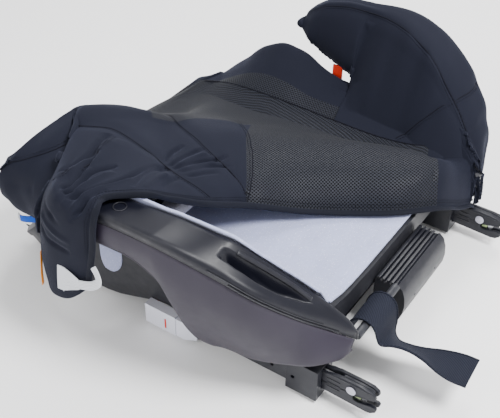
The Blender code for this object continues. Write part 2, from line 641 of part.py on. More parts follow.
def release_box(label, side):
    """White housing, push button, rocker that the button drives, and their small parts."""
    white = ((0.78, 0.79, 0.84), 0.4, 0.0)
    x_low, x_high = span(side, *HOUSING_X)
    housing = box(label + "_release_housing", (x_low, HOUSING_Y[0], HOUSING_Z[0]),
                  (x_high, HOUSING_Y[1], HOUSING_Z[1]), white)
    hollow_x = span(side, 0.1480, 0.1590)
    boolean(housing, box("housing_tool", (hollow_x[0], HOUSING_Y[0] + 0.0015, 0.0050),
                         (hollow_x[1], 0.0300, 0.0180), None, CUTTERS))
    boolean(housing, cylinder("rocker_pin_hole_tool", (side * ROCKER_X, ROCKER_PIN_Y, 0.010), "Z",
                              0.0018, 0.030, None, CUTTERS, 12))
    window = span(side, 0.1600, 0.1612)
    boolean(housing, box("window_tool", (window[0], 0.0080, 0.0070), (window[1], 0.0100, 0.0190),
                         None, CUTTERS))
    slot_x = span(side, 0.1602, 0.1608)
    box(label + "_lock_indicator", (slot_x[0], 0.0083, 0.0073), (slot_x[1], 0.0097, 0.0187),
        ((0.75, 0.04, 0.02), 0.4, 0.0))

    outline = [(0.1605, BUTTON_Y[0]), (0.1605, BUTTON_Y[1]), (0.1550, 0.0420),
               (0.1548, 0.0420), (0.1548, BUTTON_Y[0])]
    made = bmesh.new()
    low = [made.verts.new((side * x, y, 0.0040)) for x, y in outline]
    high = [made.verts.new((side * x, y, 0.0262)) for x, y in outline]
    made.faces.new(low)
    made.faces.new(high)
    for k in range(len(outline)):
        after = (k + 1) % len(outline)
        made.faces.new((low[k], low[after], high[after], high[k]))
    button = mesh_object(label + "_release_button", made, white)
    stem_x = span(side, 0.15605, 0.1552)
    boolean(button, box("stem_tool", (stem_x[0], 0.0150, 0.0090), (stem_x[1], 0.0240, 0.0130),
                        None, CUTTERS), "UNION")

    axis = bpy.data.objects.new(label + "_rocker_axis", None)
    PARTS.objects.link(axis)
    axis.location = (side * ROCKER_X, ROCKER_PIN_Y, 0.0105)
    bpy.context.view_layer.update()
    lever_x = span(side, ROCKER_X - 0.0006, ROCKER_X + 0.0006)
    rocker = box(label + "_lock_rocker", (lever_x[0], -0.0120, 0.0080),
                 (lever_x[1], 0.0185, 0.0140), ((0.42, 0.43, 0.45), 0.3, 0.95))
    hub = cylinder("rocker_hub_tool", (side * ROCKER_X, ROCKER_PIN_Y, 0.0110), "Z", 0.0026, 0.0058,
                   None, CUTTERS, 16)
    boolean(rocker, hub, "UNION")
    tooth_x = span(side, ROCKER_X - 0.0110, ROCKER_X - 0.0003)
    boolean(rocker, box("tooth_tool", (tooth_x[0], -0.0118, 0.0085), (tooth_x[1], -0.0085, 0.0120),
                        None, CUTTERS), "UNION")
    boolean(rocker, cylinder("rocker_hole_tool", (side * ROCKER_X, ROCKER_PIN_Y, 0.0110), "Z",
                             0.0017, 0.020, None, CUTTERS, 16))
    rocker.parent = axis
    rocker.matrix_parent_inverse = axis.matrix_world.inverted()
    turned(label + "_rocker_pin", (side * ROCKER_X, ROCKER_PIN_Y, 0.0), "Z",
           [(0.0, 0.0240), (0.0014, 0.0240), (0.0014, 0.0036), (0.0, 0.0036)],
           ((0.55, 0.56, 0.58), 0.3, 1.0), 12)
    coil_start = (0.1512 * side, 0.0330, 0.0125)
    wire(label + "_button_spring", helix(coil_start, "X", 0.0026, 3, side * 0.0030), 0.00030,
         ((0.55, 0.56, 0.58), 0.3, 1.0))


def belt_guide(label, side):
    """Red tab under the belt opening, on a foot that reaches the pan's wall."""
    x_low, x_high = span(side, 0.1740, 0.1765)
    tab = box(label + "_belt_guide", (x_low, -0.0090, 0.0980), (x_high, 0.0030, 0.1290),
              ((0.75, 0.04, 0.02), 0.4, 0.0))
    foot = span(side, 0.1628, 0.1755)
    boolean(tab, box("guide_foot_tool", (foot[0], -0.0070, 0.0985), (foot[1], 0.0010, 0.1010),
                     None, CUTTERS), "UNION")


# ---------------------------------------------------------------- liner, foam and cover
LINER = 0.0024                # felt thickness
HORN_SIDE_X = 0.2222          # outer side of the left horn, under the cover
FELT = ((0.52, 0.54, 0.66), 0.95, 0.0)


def felt_liner():
    """Felt over the pan, from the right crease up to the crest of the left bolster."""
    rows = []
    for y in PAN_STATIONS[2:]:
        half = offset_line(pan_half(y)[4:], -0.0010)
        rows.append([(x, y, z) for x, z in half[:-1]] + [(0.0, y, half[-1][1])]
                    + [(-x, y, z) for x, z in reversed(half[3:-1])])
    sheet("felt_liner", rows, LINER, (0.0, 0.0, 1.0), FELT, 1.0)


def arm_liner():
    """Felt strip up the inner wall of the left arm."""
    rows = []
    for y in (-0.003, 0.012, 0.019, 0.028, 0.038, 0.056, 0.080, 0.099, 0.110, 0.121, 0.134,
              0.147, 0.158):
        low, middle, inner = arm_line(y)[:3]
        start = (low[0] + 0.10 * (middle[0] - low[0]), low[1] + 0.10 * (middle[1] - low[1]))
        end = (inner[0] + 0.0002, inner[1] + 0.0038)
        line = offset_line([start, middle, inner, end], 0.0018)
        rows.append([(x, y, z) for x, z in line])
    sheet("left_arm_liner", rows, LINER, (0.0, 0.05, 0.15), FELT, 1.0)


def foam_insert():
    box("foam_insert", (0.102, -0.046, 0.1220), (0.142, 0.012, 0.1400),
        ((0.35, 0.34, 0.33), 0.9, 0.0), None, 0.002)


# Top of the cover over the seat: one line for each y, as (x, z) points from the far crease
# to the near edge. The fold stands up along the near edge and falls away behind it.
COVER_LINES = [
    (-0.192, [(-0.100, 0.024), (-0.050, 0.024), (0.000, 0.024), (0.050, 0.026), (0.100, 0.030)]),
    (-0.186, [(-0.100, 0.058), (-0.050, 0.060), (0.000, 0.060), (0.050, 0.064), (0.100, 0.078)]),
    (-0.165, [(-0.100, 0.084), (-0.050, 0.084), (0.000, 0.086), (0.050, 0.100), (0.100, 0.130)]),
    (-0.120, [(-0.100, 0.096), (-0.050, 0.094), (0.000, 0.102), (0.050, 0.140), (0.100, 0.162)]),
    (-0.060, [(-0.100, 0.098), (-0.050, 0.096), (0.000, 0.122), (0.050, 0.148), (0.100, 0.158)]),
    (0.000, [(-0.100, 0.098), (-0.050, 0.100), (0.000, 0.128), (0.050, 0.132), (0.100, 0.138)]),
    (0.050, [(-0.100, 0.098), (-0.074, 0.100), (-0.040, 0.122), (0.010, 0.121), (0.055, 0.106)]),
    (0.085, [(-0.100, 0.098), (-0.085, 0.102), (-0.060, 0.120), (-0.020, 0.118), (0.022, 0.097)]),
    (0.120, [(-0.100, 0.102), (-0.090, 0.110), (-0.070, 0.119), (-0.038, 0.114), (-0.004, 0.096)]),
    (0.150, [(-0.100, 0.108), (-0.092, 0.114), (-0.078, 0.117), (-0.052, 0.110), (-0.026, 0.096)]),
]


def cover_floor(x, y):
    """Height just above the felt at (x, y)."""
    half = sorted(pan_half(max(y, -0.150)))
    xs, zs = [p[0] for p in half if p[1] > 0.0], [p[1] for p in half if p[1] > 0.0]
    keep = [(a, b) for a, b in zip(xs, zs) if a <= CREASE_X + 0.06]
    return float(np.interp(abs(x), [a for a, b in keep], [b for a, b in keep]))


def seat_cover():
    cloth = (COVER_CLOTH, 0.85, 0.0)
    tops, bottoms = [], []
    for y, line in COVER_LINES:
        dense = []
        for (x0, z0), (x1, z1) in zip(line, line[1:]):
            dense += [(x0, z0), (0.5 * (x0 + x1), 0.5 * (z0 + z1))]
        dense.append(line[-1])
        tops.append([(x, y, z) for x, z in dense])
        if y < -0.188:
            bottoms.append([(x, y, 0.018) for x, z in dense])
        elif y < -0.180:
            bottoms.append([(x, -0.1908, 0.019) for x, z in dense])
        elif y < -0.150:
            bottoms.append([(x, -0.1905, max(cover_floor(x, -0.150) - 0.010, 0.060) + 0.0045)
                            for x, z in dense])
        else:
            bottoms.append([(x, y, cover_floor(x, y) + 0.0075) for x, z in dense])
    skin_solid("seat_cover", tops, bottoms, cloth)


# Top of the folded left side of the cover, in front of the horn: rows by y.
FOLD_LINES = [
    (-0.190, [(0.1010, 0.092), (0.130, 0.100), (0.160, 0.098), (0.182, 0.084)]),
    (-0.165, [(0.1010, 0.146), (0.130, 0.148), (0.160, 0.140), (0.188, 0.106)]),
    (-0.130, [(0.1010, 0.166), (0.130, 0.168), (0.160, 0.160), (0.196, 0.124)]),
    (-0.090, [(0.1010, 0.160), (0.130, 0.168), (0.160, 0.170), (0.198, 0.150)]),
    (-0.067, [(0.1010, 0.158), (0.130, 0.166), (0.160, 0.174), (0.196, 0.168)])]


def cover_fold():
    tops, bottoms = [], []
    for y, line in FOLD_LINES:
        tops.append([(x, y, z) for x, z in line])
        floor = []
        for x, z in line:
            base = 0.134 if y > -0.14 else 0.080
            floor.append((x, y, base if y > -0.18 else 0.0705))
        bottoms.append(floor)
    skin_solid("cover_fold", tops, bottoms, (COVER_CLOTH, 0.85, 0.0))


def horn_cover():
    """The part of the cover still on the left horn, with its flap hanging down outside."""
    rows = []
    for y, drop in ((-0.062, 0.106), (-0.050, 0.104), (-0.036, 0.092), (-0.022, 0.074),
                    (-0.006, 0.045)):
        over = arm_line(max(y, -0.040))
        side_z = over[-1][1] - 0.010
        line = over[1:] + [(HORN_SIDE_X, side_z), (HORN_SIDE_X, side_z - drop)]
        rows.append([(x, y, z) for x, z in offset_line(line, 0.0050)])
    sheet("left_horn_cover", rows, 0.0022, (0.20, -0.03, 1.0), (COVER_CLOTH, 0.85, 0.0), 1.0)


def right_arm_cover():
    rows = []
    for y in ARM_STATIONS[:-3]:
        points = offset_line(arm_line(y)[:-1] + panel_line(y), 0.0014)
        rows.append(mirror_row([(x, y, z) for x, z in points], -1))
    sheet("right_arm_cover", rows, 0.0090, (-0.20, 0.05, 1.0), (COVER_CLOTH, 0.85, 0.0), 1.0)


def right_bolster_cover():
    """Cover over the right bolster, from the seat's crease to just outside the crest."""
    rows = []
    for y in PAN_STATIONS[1:13]:
        line = offset_line(pan_half(y)[2:7], -0.0084)
        rows.append(mirror_row([(x, y, z) for x, z in line], -1))
    sheet("right_bolster_cover", rows, 0.0045, (0.0, -0.05, 1.0), (COVER_CLOTH, 0.85, 0.0), 1.0)


def elastic_loop():
    """Elastic loop sewn to the hanging flap."""
    path = [(0.2296, -0.050), (0.2300, -0.036), (0.2315, -0.022), (0.2330, -0.010),
            (0.2325, -0.004), (0.2310, -0.003), (0.2302, -0.008)]
    tops = [[(x, y, 0.086 + 0.4 * (y + 0.05)), (x, y, 0.100 + 0.4 * (y + 0.05))] for x, y in path]
    line = np.array(path)
    along = np.gradient(line, axis=0)
    along /= np.linalg.norm(along, axis=1)[:, None]
    bottoms = [[(x + 0.0007 * dy, y - 0.0007 * dx, z) for x, y, z in row]
               for row, (dx, dy) in zip(tops, along)]
    skin_solid("elastic_loop", tops, bottoms, ((0.72, 0.73, 0.75), 0.8, 0.0))


# ---------------------------------------------------------------- assembly
def side_parts(label, side):
    joint = bpy.data.objects.new(label + "_slide_axis", None)
    PARTS.objects.link(joint)
    joint.location = (side * ARM_X, 0.0, 0.0250)
    bpy.context.view_layer.update()
    armrest(label, side)
    side_panel(label, side)
    rail(label, side)
    guide_bracket(label, side)
    slide_arm(label, side, joint)
    connector(label, side, joint)
    latch_hook(label, side, joint)
    release_box(label, side)
    belt_guide(label, side)


def main():
    global PARTS, CUTTERS
    clear_scene()
    PARTS = collection("booster_seat")
    CUTTERS = collection("cutters")
    seat_pan()
    base_plate()
    base_screws()
    feet()
    for label, side in (("left", 1), ("right", -1)):
        side_parts(label, side)
    cylinder("rail_crossbar", (0.0, 0.100, 0.0220), "X", 0.0060, 2 * (ARM_X - 0.0134),
             (STEEL, 0.35, 0.7))
    rear_block()
    strap_bar()
    webbing_strap()
    felt_liner()
    arm_liner()
    foam_insert()
    seat_cover()
    cover_fold()
    horn_cover()
    right_arm_cover()
    right_bolster_cover()
    elastic_loop()


main()
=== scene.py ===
"""Looks for the backless booster seat: fabric cover half pulled off, felt, moulded plastic, steel.

Tables are in millimetres in the seat's own frame: +X the child's left, -Y forwards, +Z up.
"""
import math

import bpy
import numpy as np
from mathutils import Matrix, Vector


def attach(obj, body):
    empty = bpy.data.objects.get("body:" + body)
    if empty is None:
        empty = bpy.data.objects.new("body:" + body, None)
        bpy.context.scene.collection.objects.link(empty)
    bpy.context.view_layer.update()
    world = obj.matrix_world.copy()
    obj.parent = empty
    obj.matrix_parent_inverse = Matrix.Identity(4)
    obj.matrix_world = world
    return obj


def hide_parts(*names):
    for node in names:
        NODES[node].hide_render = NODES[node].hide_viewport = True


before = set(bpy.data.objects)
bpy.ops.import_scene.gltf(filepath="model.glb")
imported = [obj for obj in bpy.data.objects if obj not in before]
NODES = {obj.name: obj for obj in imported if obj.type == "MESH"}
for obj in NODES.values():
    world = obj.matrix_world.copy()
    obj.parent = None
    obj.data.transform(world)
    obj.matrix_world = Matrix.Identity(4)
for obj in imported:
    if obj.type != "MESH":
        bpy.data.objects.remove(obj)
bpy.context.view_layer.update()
SEAT = "seat"
MM = 0.001
CLOTH_THICKNESS = 2.6  # the seat's cover, mm
SLEEVE_THICKNESS = 2.4  # the cover over the right side, mm
SHELL_WALL = 2.2  # moulded shells, mm


def link(name, data):
    """A new object in the scene's own collection."""
    made = bpy.data.objects.new(name, data)
    bpy.context.scene.collection.objects.link(made)
    return made


# ------------------------------------------------------------------ camera, floor and light
def camera():
    """Three-quarter view from the child's rear left, slightly rolled."""
    azimuth, elevation, roll = (math.radians(a) for a in (123.35, 39.008, 0.80))
    back = Vector((math.sin(azimuth) * math.cos(elevation),
                   -math.cos(azimuth) * math.cos(elevation), math.sin(elevation)))
    right = (-back).cross(Vector((0, 0, 1))).normalized()
    up = right.cross(-back)
    turned_right = math.cos(roll) * right + math.sin(roll) * up
    turned_up = math.cos(roll) * up - math.sin(roll) * right
    data = bpy.data.cameras.new("camera")
    data.lens = 66.145
    data.sensor_width = 36.0
    made = link("camera", data)
    made.matrix_world = Matrix.Translation((0.62561, 0.40945, 0.64735)) @ Matrix(
        (turned_right, turned_up, back)).transposed().to_4x4()
    bpy.context.scene.camera = made


def studio():
    """White surroundings, three soft lamps and a pale floor."""
    world = bpy.data.worlds.new("studio")
    world.use_nodes = True
    sky = world.node_tree.nodes["Background"].inputs
    sky["Color"].default_value = (1.0, 1.0, 1.0, 1.0)
    sky["Strength"].default_value = 0.95
    bpy.context.scene.world = world
    for name, place, size, power in (("key", (0.1, 0.9, 1.5), 0.6, 50.0),
                                     ("fill", (1.3, -0.3, 0.9), 0.9, 10.0),
                                     ("back", (-1.0, -0.2, 1.3), 0.7, 16.0)):
        data = bpy.data.lights.new(name, "AREA")
        data.shape = "DISK"
        data.size = size
        data.energy = power
        lamp = link(name, data)
        lamp.location = place
        aim = Vector((0.0, 0.0, 0.08)) - Vector(place)
        lamp.rotation_euler = aim.to_track_quat("-Z", "Y").to_euler()
    floor = bpy.data.meshes.new("floor")
    floor.from_pydata([(-4, -4, 0), (4, -4, 0), (4, 4, 0), (-4, 4, 0)], [], [(0, 1, 2, 3)])
    made = link("floor", floor)
    made.location.z = -0.0006
    floor.materials.append(surface("floor_paper", (0.97, 0.97, 0.98), 0.95, mottle=(2.0, 0.01)))


# ------------------------------------------------------------------ materials
class Nodes:
    """A material's node tree, built one node at a time."""

    def __init__(self, name):
        self.made = bpy.data.materials.new(name)
        self.made.use_nodes = True
        self.tree = self.made.node_tree
        self.shader = self.tree.nodes["Principled BSDF"]
        self.place = self.add("ShaderNodeTexCoord").outputs["Object"]

    def add(self, kind, inputs=None, **settings):
        node = self.tree.nodes.new(kind)
        for key, value in settings.items():
            setattr(node, key, value)
        for key, value in (inputs or {}).items():
            if isinstance(value, bpy.types.NodeSocket):
                self.tree.links.new(value, node.inputs[key])
            else:
                node.inputs[key].default_value = value
        return node

    def math(self, operation, first, second=0.0, third=0.0):
        return self.add("ShaderNodeMath", {0: first, 1: second, 2: third},
                        operation=operation).outputs[0]

    def times(self, first, second):
        return self.math("MULTIPLY", first, second)

    def wave(self, value, turn):
        return self.math("SINE", self.times(value, turn))

    def noise(self, scale, detail=2.0, rough=0.5, place=None):
        """Noise over the object, or over another set of coordinates."""
        return self.add("ShaderNodeTexNoise", {"Vector": place or self.place, "Scale": scale,
                                               "Detail": detail, "Roughness": rough}).outputs[0]

    def streaks(self, scales, detail, rough):
        """Noise with a scale of its own along each axis."""
        place = self.add("ShaderNodeMapping", {0: self.place, 3: scales}).outputs[0]
        return self.noise(1.0, detail, rough, place)

    def cells(self, scale):
        return self.add("ShaderNodeTexVoronoi",
                        {"Vector": self.place, "Scale": scale}).outputs["Distance"]

    def ramp(self, value, low, high, start=0.0, end=1.0, kind="LINEAR"):
        """Map low..high to start..end, clamped."""
        return self.add("ShaderNodeMapRange", {0: value, 1: low, 2: high, 3: start, 4: end},
                        interpolation_type=kind).outputs[0]

    def threads(self):
        """The two directions of the UV map, in metres."""
        uv = self.add("ShaderNodeSeparateXYZ", {0: self.add("ShaderNodeUVMap").outputs[0]})
        return uv.outputs[0], uv.outputs[1]

    def stretch(self, value, low, high):
        """Map 0..1 to low..high."""
        return self.math("MULTIPLY_ADD", value, high - low, low)

    def mix(self, share, first, second):
        node = self.add("ShaderNodeMix", data_type="RGBA")
        for socket, value in ((node.inputs[0], share), (node.inputs[6], first),
                              (node.inputs[7], second)):
            if isinstance(value, bpy.types.NodeSocket):
                self.tree.links.new(value, socket)
            elif isinstance(value, tuple):
                socket.default_value = (*value[:3], 1.0)
            else:
                socket.default_value = value
        return node.outputs[2]

    def bump(self, height, strength, distance, under=None):
        inputs = {"Height": height, "Strength": strength, "Distance": distance}
        if under is not None:
            inputs["Normal"] = under
        return self.add("ShaderNodeBump", inputs).outputs[0]

    def plug(self, **sockets):
        for key, value in sockets.items():
            socket = self.shader.inputs[key.replace("_", " ")]
            if isinstance(value, bpy.types.NodeSocket):
                self.tree.links.new(value, socket)
            else:
                socket.default_value = value
        return self.made


def tone(colour, factor):
    return tuple(min(1.0, c * factor) for c in colour)


def surface(name, colour, rough, metallic=0.0, mottle=(30.0, 0.10), grain=(900.0, 0.10),
            wear=0.0):
    """Moulded plastic, painted or bare metal, rubber: fine grain, uneven gloss, worn edges."""
    n = Nodes(name)
    (blotch_scale, blotch_share), (grain_scale, grain_relief) = mottle, grain
    base = n.mix(n.noise(blotch_scale, 4.0), tone(colour, 1 - blotch_share),
                 tone(colour, 1 + blotch_share))
    if wear:
        edge = n.add("ShaderNodeNewGeometry").outputs["Pointiness"]
        patchy = n.times(n.ramp(edge, 0.505, 0.56, 0.0, wear), n.noise(160.0, 3.0))
        base = n.mix(patchy, base, tuple(min(1.0, c + 0.07) for c in colour))
    fine = n.bump(n.noise(grain_scale, 3.0, 0.6), grain_relief, 0.0004)
    wide = n.bump(n.noise(45.0), 0.05, 0.002, fine)
    gloss = n.stretch(n.noise(70.0, 3.0), rough - 0.08, rough + 0.08)
    return n.plug(Base_Color=base, Roughness=gloss, Metallic=metallic, Normal=wide,
                  Coat_Roughness=0.25, Specular_IOR_Level=0.26)


def knit(name, colour, pitch=0.9, fleck=0.22, sheen=0.05, relief=0.35, weave="plain",
         gap_shade=0.35):
    """Fabric whose threads follow its own UV map: plain, twill or ribbed weave."""
    n = Nodes(name)
    u, v = n.threads()
    turn = 2 * math.pi / (pitch * MM)
    if weave == "plain":
        thread = n.times(n.wave(u, turn), n.wave(v, turn))
    elif weave == "twill":
        slope = n.math("ADD", n.times(u, turn), n.times(v, turn * 0.6))
        thread = n.times(n.math("SINE", slope), n.wave(v, turn * 1.7))
    else:
        thread = n.wave(v, turn)
    heather = n.noise(1400.0, 3.0, 0.7)
    base = n.mix(heather, tone(colour, 1 - fleck), tone(colour, 1 + fleck))
    base = n.mix(n.stretch(n.noise(22.0, 3.0), 0.0, 0.25), base, tone(colour, 0.70))
    # darker where the threads dip, towards 0.22 of the colour: painted shade between the threads
    base = n.mix(n.times(n.math("SUBTRACT", 1.0, thread), gap_shade * 0.6), base,
                 tone(colour, 0.22))
    normal = n.bump(n.stretch(thread, 0.5, 1.0), relief, 0.0003, n.bump(heather, 0.15, 0.0003))
    return n.plug(Base_Color=base, Roughness=0.82, Normal=normal, Sheen_Weight=sheen,
                  Sheen_Roughness=0.4, Sheen_Tint=(0.55, 0.62, 1.0, 1.0),
                  Specular_IOR_Level=0.12)


def spacer_mesh(name, colour, pitch=3.6):
    """Knitted spacer fabric: staggered diamond holes between raised strands."""
    n = Nodes(name)
    u, v = n.threads()
    turn = 2 * math.pi / (pitch * MM)
    u, v = n.times(u, turn), n.times(v, turn * 1.05)
    first, second = (n.wave(n.math(way, u, v), 0.5) for way in ("ADD", "SUBTRACT"))
    lattice = n.math("ABSOLUTE", n.times(first, second))
    hole = n.ramp(lattice, 0.30, 0.62, kind="SMOOTHSTEP")
    fleck = n.noise(1500.0, 3.0, 0.7)
    strand = n.mix(fleck, tone(colour, 0.75), tone(colour, 1.3))
    normal = n.bump(n.math("SUBTRACT", 1.0, hole), 0.9, 0.0009, n.bump(fleck, 0.2, 0.0003))
    # holes painted near black, 0.16 of the colour: painted shade inside the holes
    return n.plug(Base_Color=n.mix(hole, strand, tone(colour, 0.16)),
                  Roughness=n.stretch(hole, 0.55, 0.95), Normal=normal, Sheen_Weight=0.03,
                  Specular_IOR_Level=0.2)


def felt(name, colour):
    """Needled felt: long fibres at random, soft blotches and a few bright specks."""
    n = Nodes(name)
    fibre = n.streaks((260.0, 900.0, 500.0), 4.0, 0.75)
    cloud = n.streaks((14.0, 60.0, 30.0), 6.0, 0.65)
    bright = n.ramp(n.cells(420.0), 0.10, 0.22, 1.0, 0.0)
    base = n.mix(fibre, tone(colour, 0.66), tone(colour, 1.22))
    base = n.mix(n.stretch(cloud, 0.0, 0.85), base, tone(colour, 0.62))
    base = n.mix(n.times(bright, 0.55), base, (0.95, 0.96, 1.0))
    normal = n.bump(fibre, 0.45, 0.0006, n.bump(cloud, 0.25, 0.002))
    return n.plug(Base_Color=base, Roughness=0.95, Normal=normal, Sheen_Weight=0.3,
                  Sheen_Roughness=0.6)


def foam(name, colour):
    """Open-cell foam: small pits of two sizes."""
    n = Nodes(name)
    cell, coarse = n.cells(700.0), n.noise(150.0, 4.0, 0.7)
    # darker at the cells' centres, where the bump dips into pits: painted shade in the pits
    base = n.mix(n.stretch(cell, 0.2, 1.0), tone(colour, 0.55), tone(colour, 1.1))
    base = n.mix(n.stretch(coarse, 0.0, 0.5), base, tone(colour, 0.75))
    return n.plug(Base_Color=base, Roughness=0.95,
                  Normal=n.bump(cell, 0.6, 0.0008, n.bump(coarse, 0.4, 0.001)))


# ------------------------------------------------------------------ shape helpers
def through(points, places):
    """Catmull-Rom curve through points (first axis), at index positions."""
    p = np.asarray(points, float)
    p = np.concatenate([2 * p[:1] - p[1:2], p, 2 * p[-1:] - p[-2:-1]])
    i = np.clip(np.floor(places).astype(int), 0, len(p) - 4)
    t = (places - i).reshape((-1,) + (1,) * (p.ndim - 1))
    a, b, c, d = p[i], p[i + 1], p[i + 2], p[i + 3]
    return 0.5 * (2 * b + (c - a) * t + (2 * a - 5 * b + 4 * c - d) * t ** 2
                  + (3 * b - a - 3 * c + d) * t ** 3)


def even(points, count):
    """The curve through points, at even steps of its own length."""
    fine = through(points, np.linspace(0, len(points) - 1, 40 * len(points)))
    run = np.concatenate([[0], np.cumsum(np.linalg.norm(np.diff(fine, axis=0), axis=1))])
    want = np.linspace(0, run[-1], count)
    return np.stack([np.interp(want, run, fine[:, k]) for k in range(fine.shape[1])], axis=1)


def net(rows, across, along):
    """A dense grid through a coarse one: across points in each row, along rows."""
    lines = np.stack([through(row, np.linspace(0, len(row) - 1, across)) for row in rows])
    return through(lines, np.linspace(0, len(rows) - 1, along))


def normals_of(points):
    du = np.gradient(points, axis=0)
    dv = np.gradient(points, axis=1)
    n = np.cross(du, dv)
    return n / np.maximum(np.linalg.norm(n, axis=2, keepdims=True), 1e-9)


def draped(rows, across, along, size, length, axis, sign=1):
    """A gently rippled cloth through coarse rows, and its normals, facing along an axis."""
    points = net(np.array(rows, float), across, along)
    outward = normals_of(points)
    if outward[:, :, axis].mean() * sign < 0:
        outward = -outward
    return ripple(points, outward, size, length), outward


def nearest(points, path):
    """Distance from each grid point to a path, and how far along it, 0..1."""
    flat = points.reshape(-1, 3)
    best = np.full(len(flat), 1e9)
    where = np.zeros(len(flat))
    for k, place in enumerate(path):
        gap = np.linalg.norm(flat - place, axis=1)
        closer = gap < best
        best[closer] = gap[closer]
        where[closer] = k / max(len(path) - 1, 1)
    return best.reshape(points.shape[:2]), where.reshape(points.shape[:2])


def press(points, outward, path, width, depth, fade=True):
    """Move the grid along outward by depth near a path: below zero is a groove."""
    gap, where = nearest(points, even(np.array(path, float), 90))
    share = np.exp(-(gap / width) ** 2)
    if fade:
        share = share * np.clip(np.minimum(where, 1 - where) / 0.18, 0.0, 1.0) ** 0.7
    return points + outward * (depth * share)[:, :, None]


def ripple(points, outward, size, length):
    """Slow uneven waves that keep cloth from looking ironed."""
    x, y, z = np.moveaxis(points / length, 2, 0)
    wave = (np.sin(1.7 * x + 0.6 * y + 1.3) + np.sin(-0.8 * x + 1.9 * y + 2.1 * z)
            + np.sin(2.9 * x - 2.3 * y + 0.4) * 0.5 + np.sin(4.1 * y + 3.3 * z + 2.0) * 0.4)
    return points + outward * (size * wave / 2.9)[:, :, None]


def superellipse(angle, power):
    """A point on a rounded square, one unit from its centre to each side."""
    return tuple(math.copysign(abs(c) ** (2 / power), c)
                 for c in (math.cos(angle), math.sin(angle)))


def place_piece(name, mesh, material, body):
    """A smooth object from a mesh, riding a body and filling a material slot."""
    mesh.shade_smooth()
    mesh.materials.append(material)
    made = link(name, mesh)
    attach(made, body)
    return made


def grid_object(name, points, outside, material, thickness=0.0, body=SEAT,
                closed=False, drop=None):
    """A mesh from a grid in millimetres, UV mapped in metres and made solid inwards."""
    rows, cols = points.shape[:2]
    across = np.linalg.norm(np.diff(points, axis=1), axis=2)
    along = np.linalg.norm(np.diff(points, axis=0), axis=2)
    v = np.concatenate([np.zeros((rows, 1)), np.cumsum(across, axis=1)], axis=1) * MM
    u = np.concatenate([[0], np.cumsum(along.mean(axis=1))])[:, None] * MM + np.zeros_like(v)
    faces = [(r * cols + c, r * cols + c + 1, (r + 1) * cols + c + 1, (r + 1) * cols + c)
             for r in range(rows - 1) for c in range(cols - 1)
             if drop is None or not drop[r, c]]
    flat = points.reshape(-1, 3) * MM
    middle = flat[[f[0] for f in faces]]
    pick = int(np.argmin(np.linalg.norm(middle - np.array(outside) * MM, axis=1)))
    a, b, c, d = (flat[k] for k in faces[pick])
    if np.dot(np.cross(c - a, d - b), np.array(outside) * MM - a) < 0:
        faces = [f[::-1] for f in faces]
    mesh = bpy.data.meshes.new(name)
    mesh.from_pydata([tuple(p) for p in flat], [], faces)
    layer = mesh.uv_layers.new(name="UVMap")
    pairs = np.stack([u.ravel(), v.ravel()], axis=1)
    index = np.array([k for f in faces for k in f])
    layer.data.foreach_set("uv", pairs[index].astype(np.float32).ravel())
    made = place_piece(name, mesh, material, body)
    if closed:
        weld = made.modifiers.new("join", "WELD")
        weld.merge_threshold = 0.00005
    if thickness:
        solid = made.modifiers.new("thickness", "SOLIDIFY")
        solid.thickness = thickness * MM
        solid.offset = -1.0
        solid.use_rim = True
    return made


def tube(name, path, wide, tall, facing, material, body=SEAT, count=160,
         sides=10):
    """A swept strip with a rounded oblong section: wide across, tall along facing."""
    line = even(np.array(path, float), count)
    ahead = np.gradient(line, axis=0)
    ahead /= np.linalg.norm(ahead, axis=1)[:, None]
    face = even(np.array(facing, float), count) if np.ndim(facing) == 2 else np.tile(
        np.array(facing, float), (count, 1))
    side = np.cross(ahead, face)
    side /= np.linalg.norm(side, axis=1)[:, None]
    face = np.cross(side, ahead)
    ring = [superellipse(2 * math.pi * k / sides, 2.4) for k in range(sides + 1)]
    points = np.stack([line + side * (a * wide / 2) + face * (b * tall / 2) for a, b in ring],
                      axis=1)
    cap0 = np.repeat(line[:1, None], sides + 1, axis=1) - ahead[:1, None] * tall * 0.2
    cap1 = np.repeat(line[-1:, None], sides + 1, axis=1) + ahead[-1:, None] * tall * 0.2
    points = np.concatenate([cap0, points, cap1])
    far = line[0] + side[0] * wide * 3
    return grid_object(name, points, far, material, body=body, closed=True)


STITCH_STEP, STITCH_LENGTH, THREAD_RADIUS = 3.0, 2.0, 0.28


def stitches(name, path, lift):
    """A row of thread stitches along a path: short capsules, a gap between each two."""
    line = np.array(path, float) + np.array(lift)
    run = float(np.linalg.norm(np.diff(even(line, 200), axis=0), axis=1).sum())
    count = max(int(run / STITCH_STEP), 2)
    fine = even(line, count * 4 + 1)
    verts, faces = [], []
    for k in range(count):
        start, end = fine[4 * k], fine[4 * k + 3]
        ahead = end - start
        ahead /= max(np.linalg.norm(ahead), 1e-9)
        end = start + ahead * STITCH_LENGTH
        side = np.cross(ahead, (0.3, 0.2, 1.0))
        side /= np.linalg.norm(side)
        up = np.cross(side, ahead)
        base = len(verts)
        for place, size in ((start, 0.35), (start + ahead * 0.3, 1.0), (end - ahead * 0.3, 1.0),
                            (end, 0.35)):
            for s, t in ((1, 0), (0, 1), (-1, 0), (0, -1)):
                verts.append(tuple((place + (side * s + up * t) * THREAD_RADIUS * size) * MM))
        for ring in range(3):
            for s in range(4):
                a, b = base + ring * 4 + s, base + ring * 4 + (s + 1) % 4
                faces.append((a, b, b + 4, a + 4))
        faces.append((base + 3, base + 2, base + 1, base))
        faces.append((base + 12, base + 13, base + 14, base + 15))
    mesh = bpy.data.meshes.new(name)
    mesh.from_pydata(verts, [], faces)
    place_piece(name, mesh, thread, SEAT)


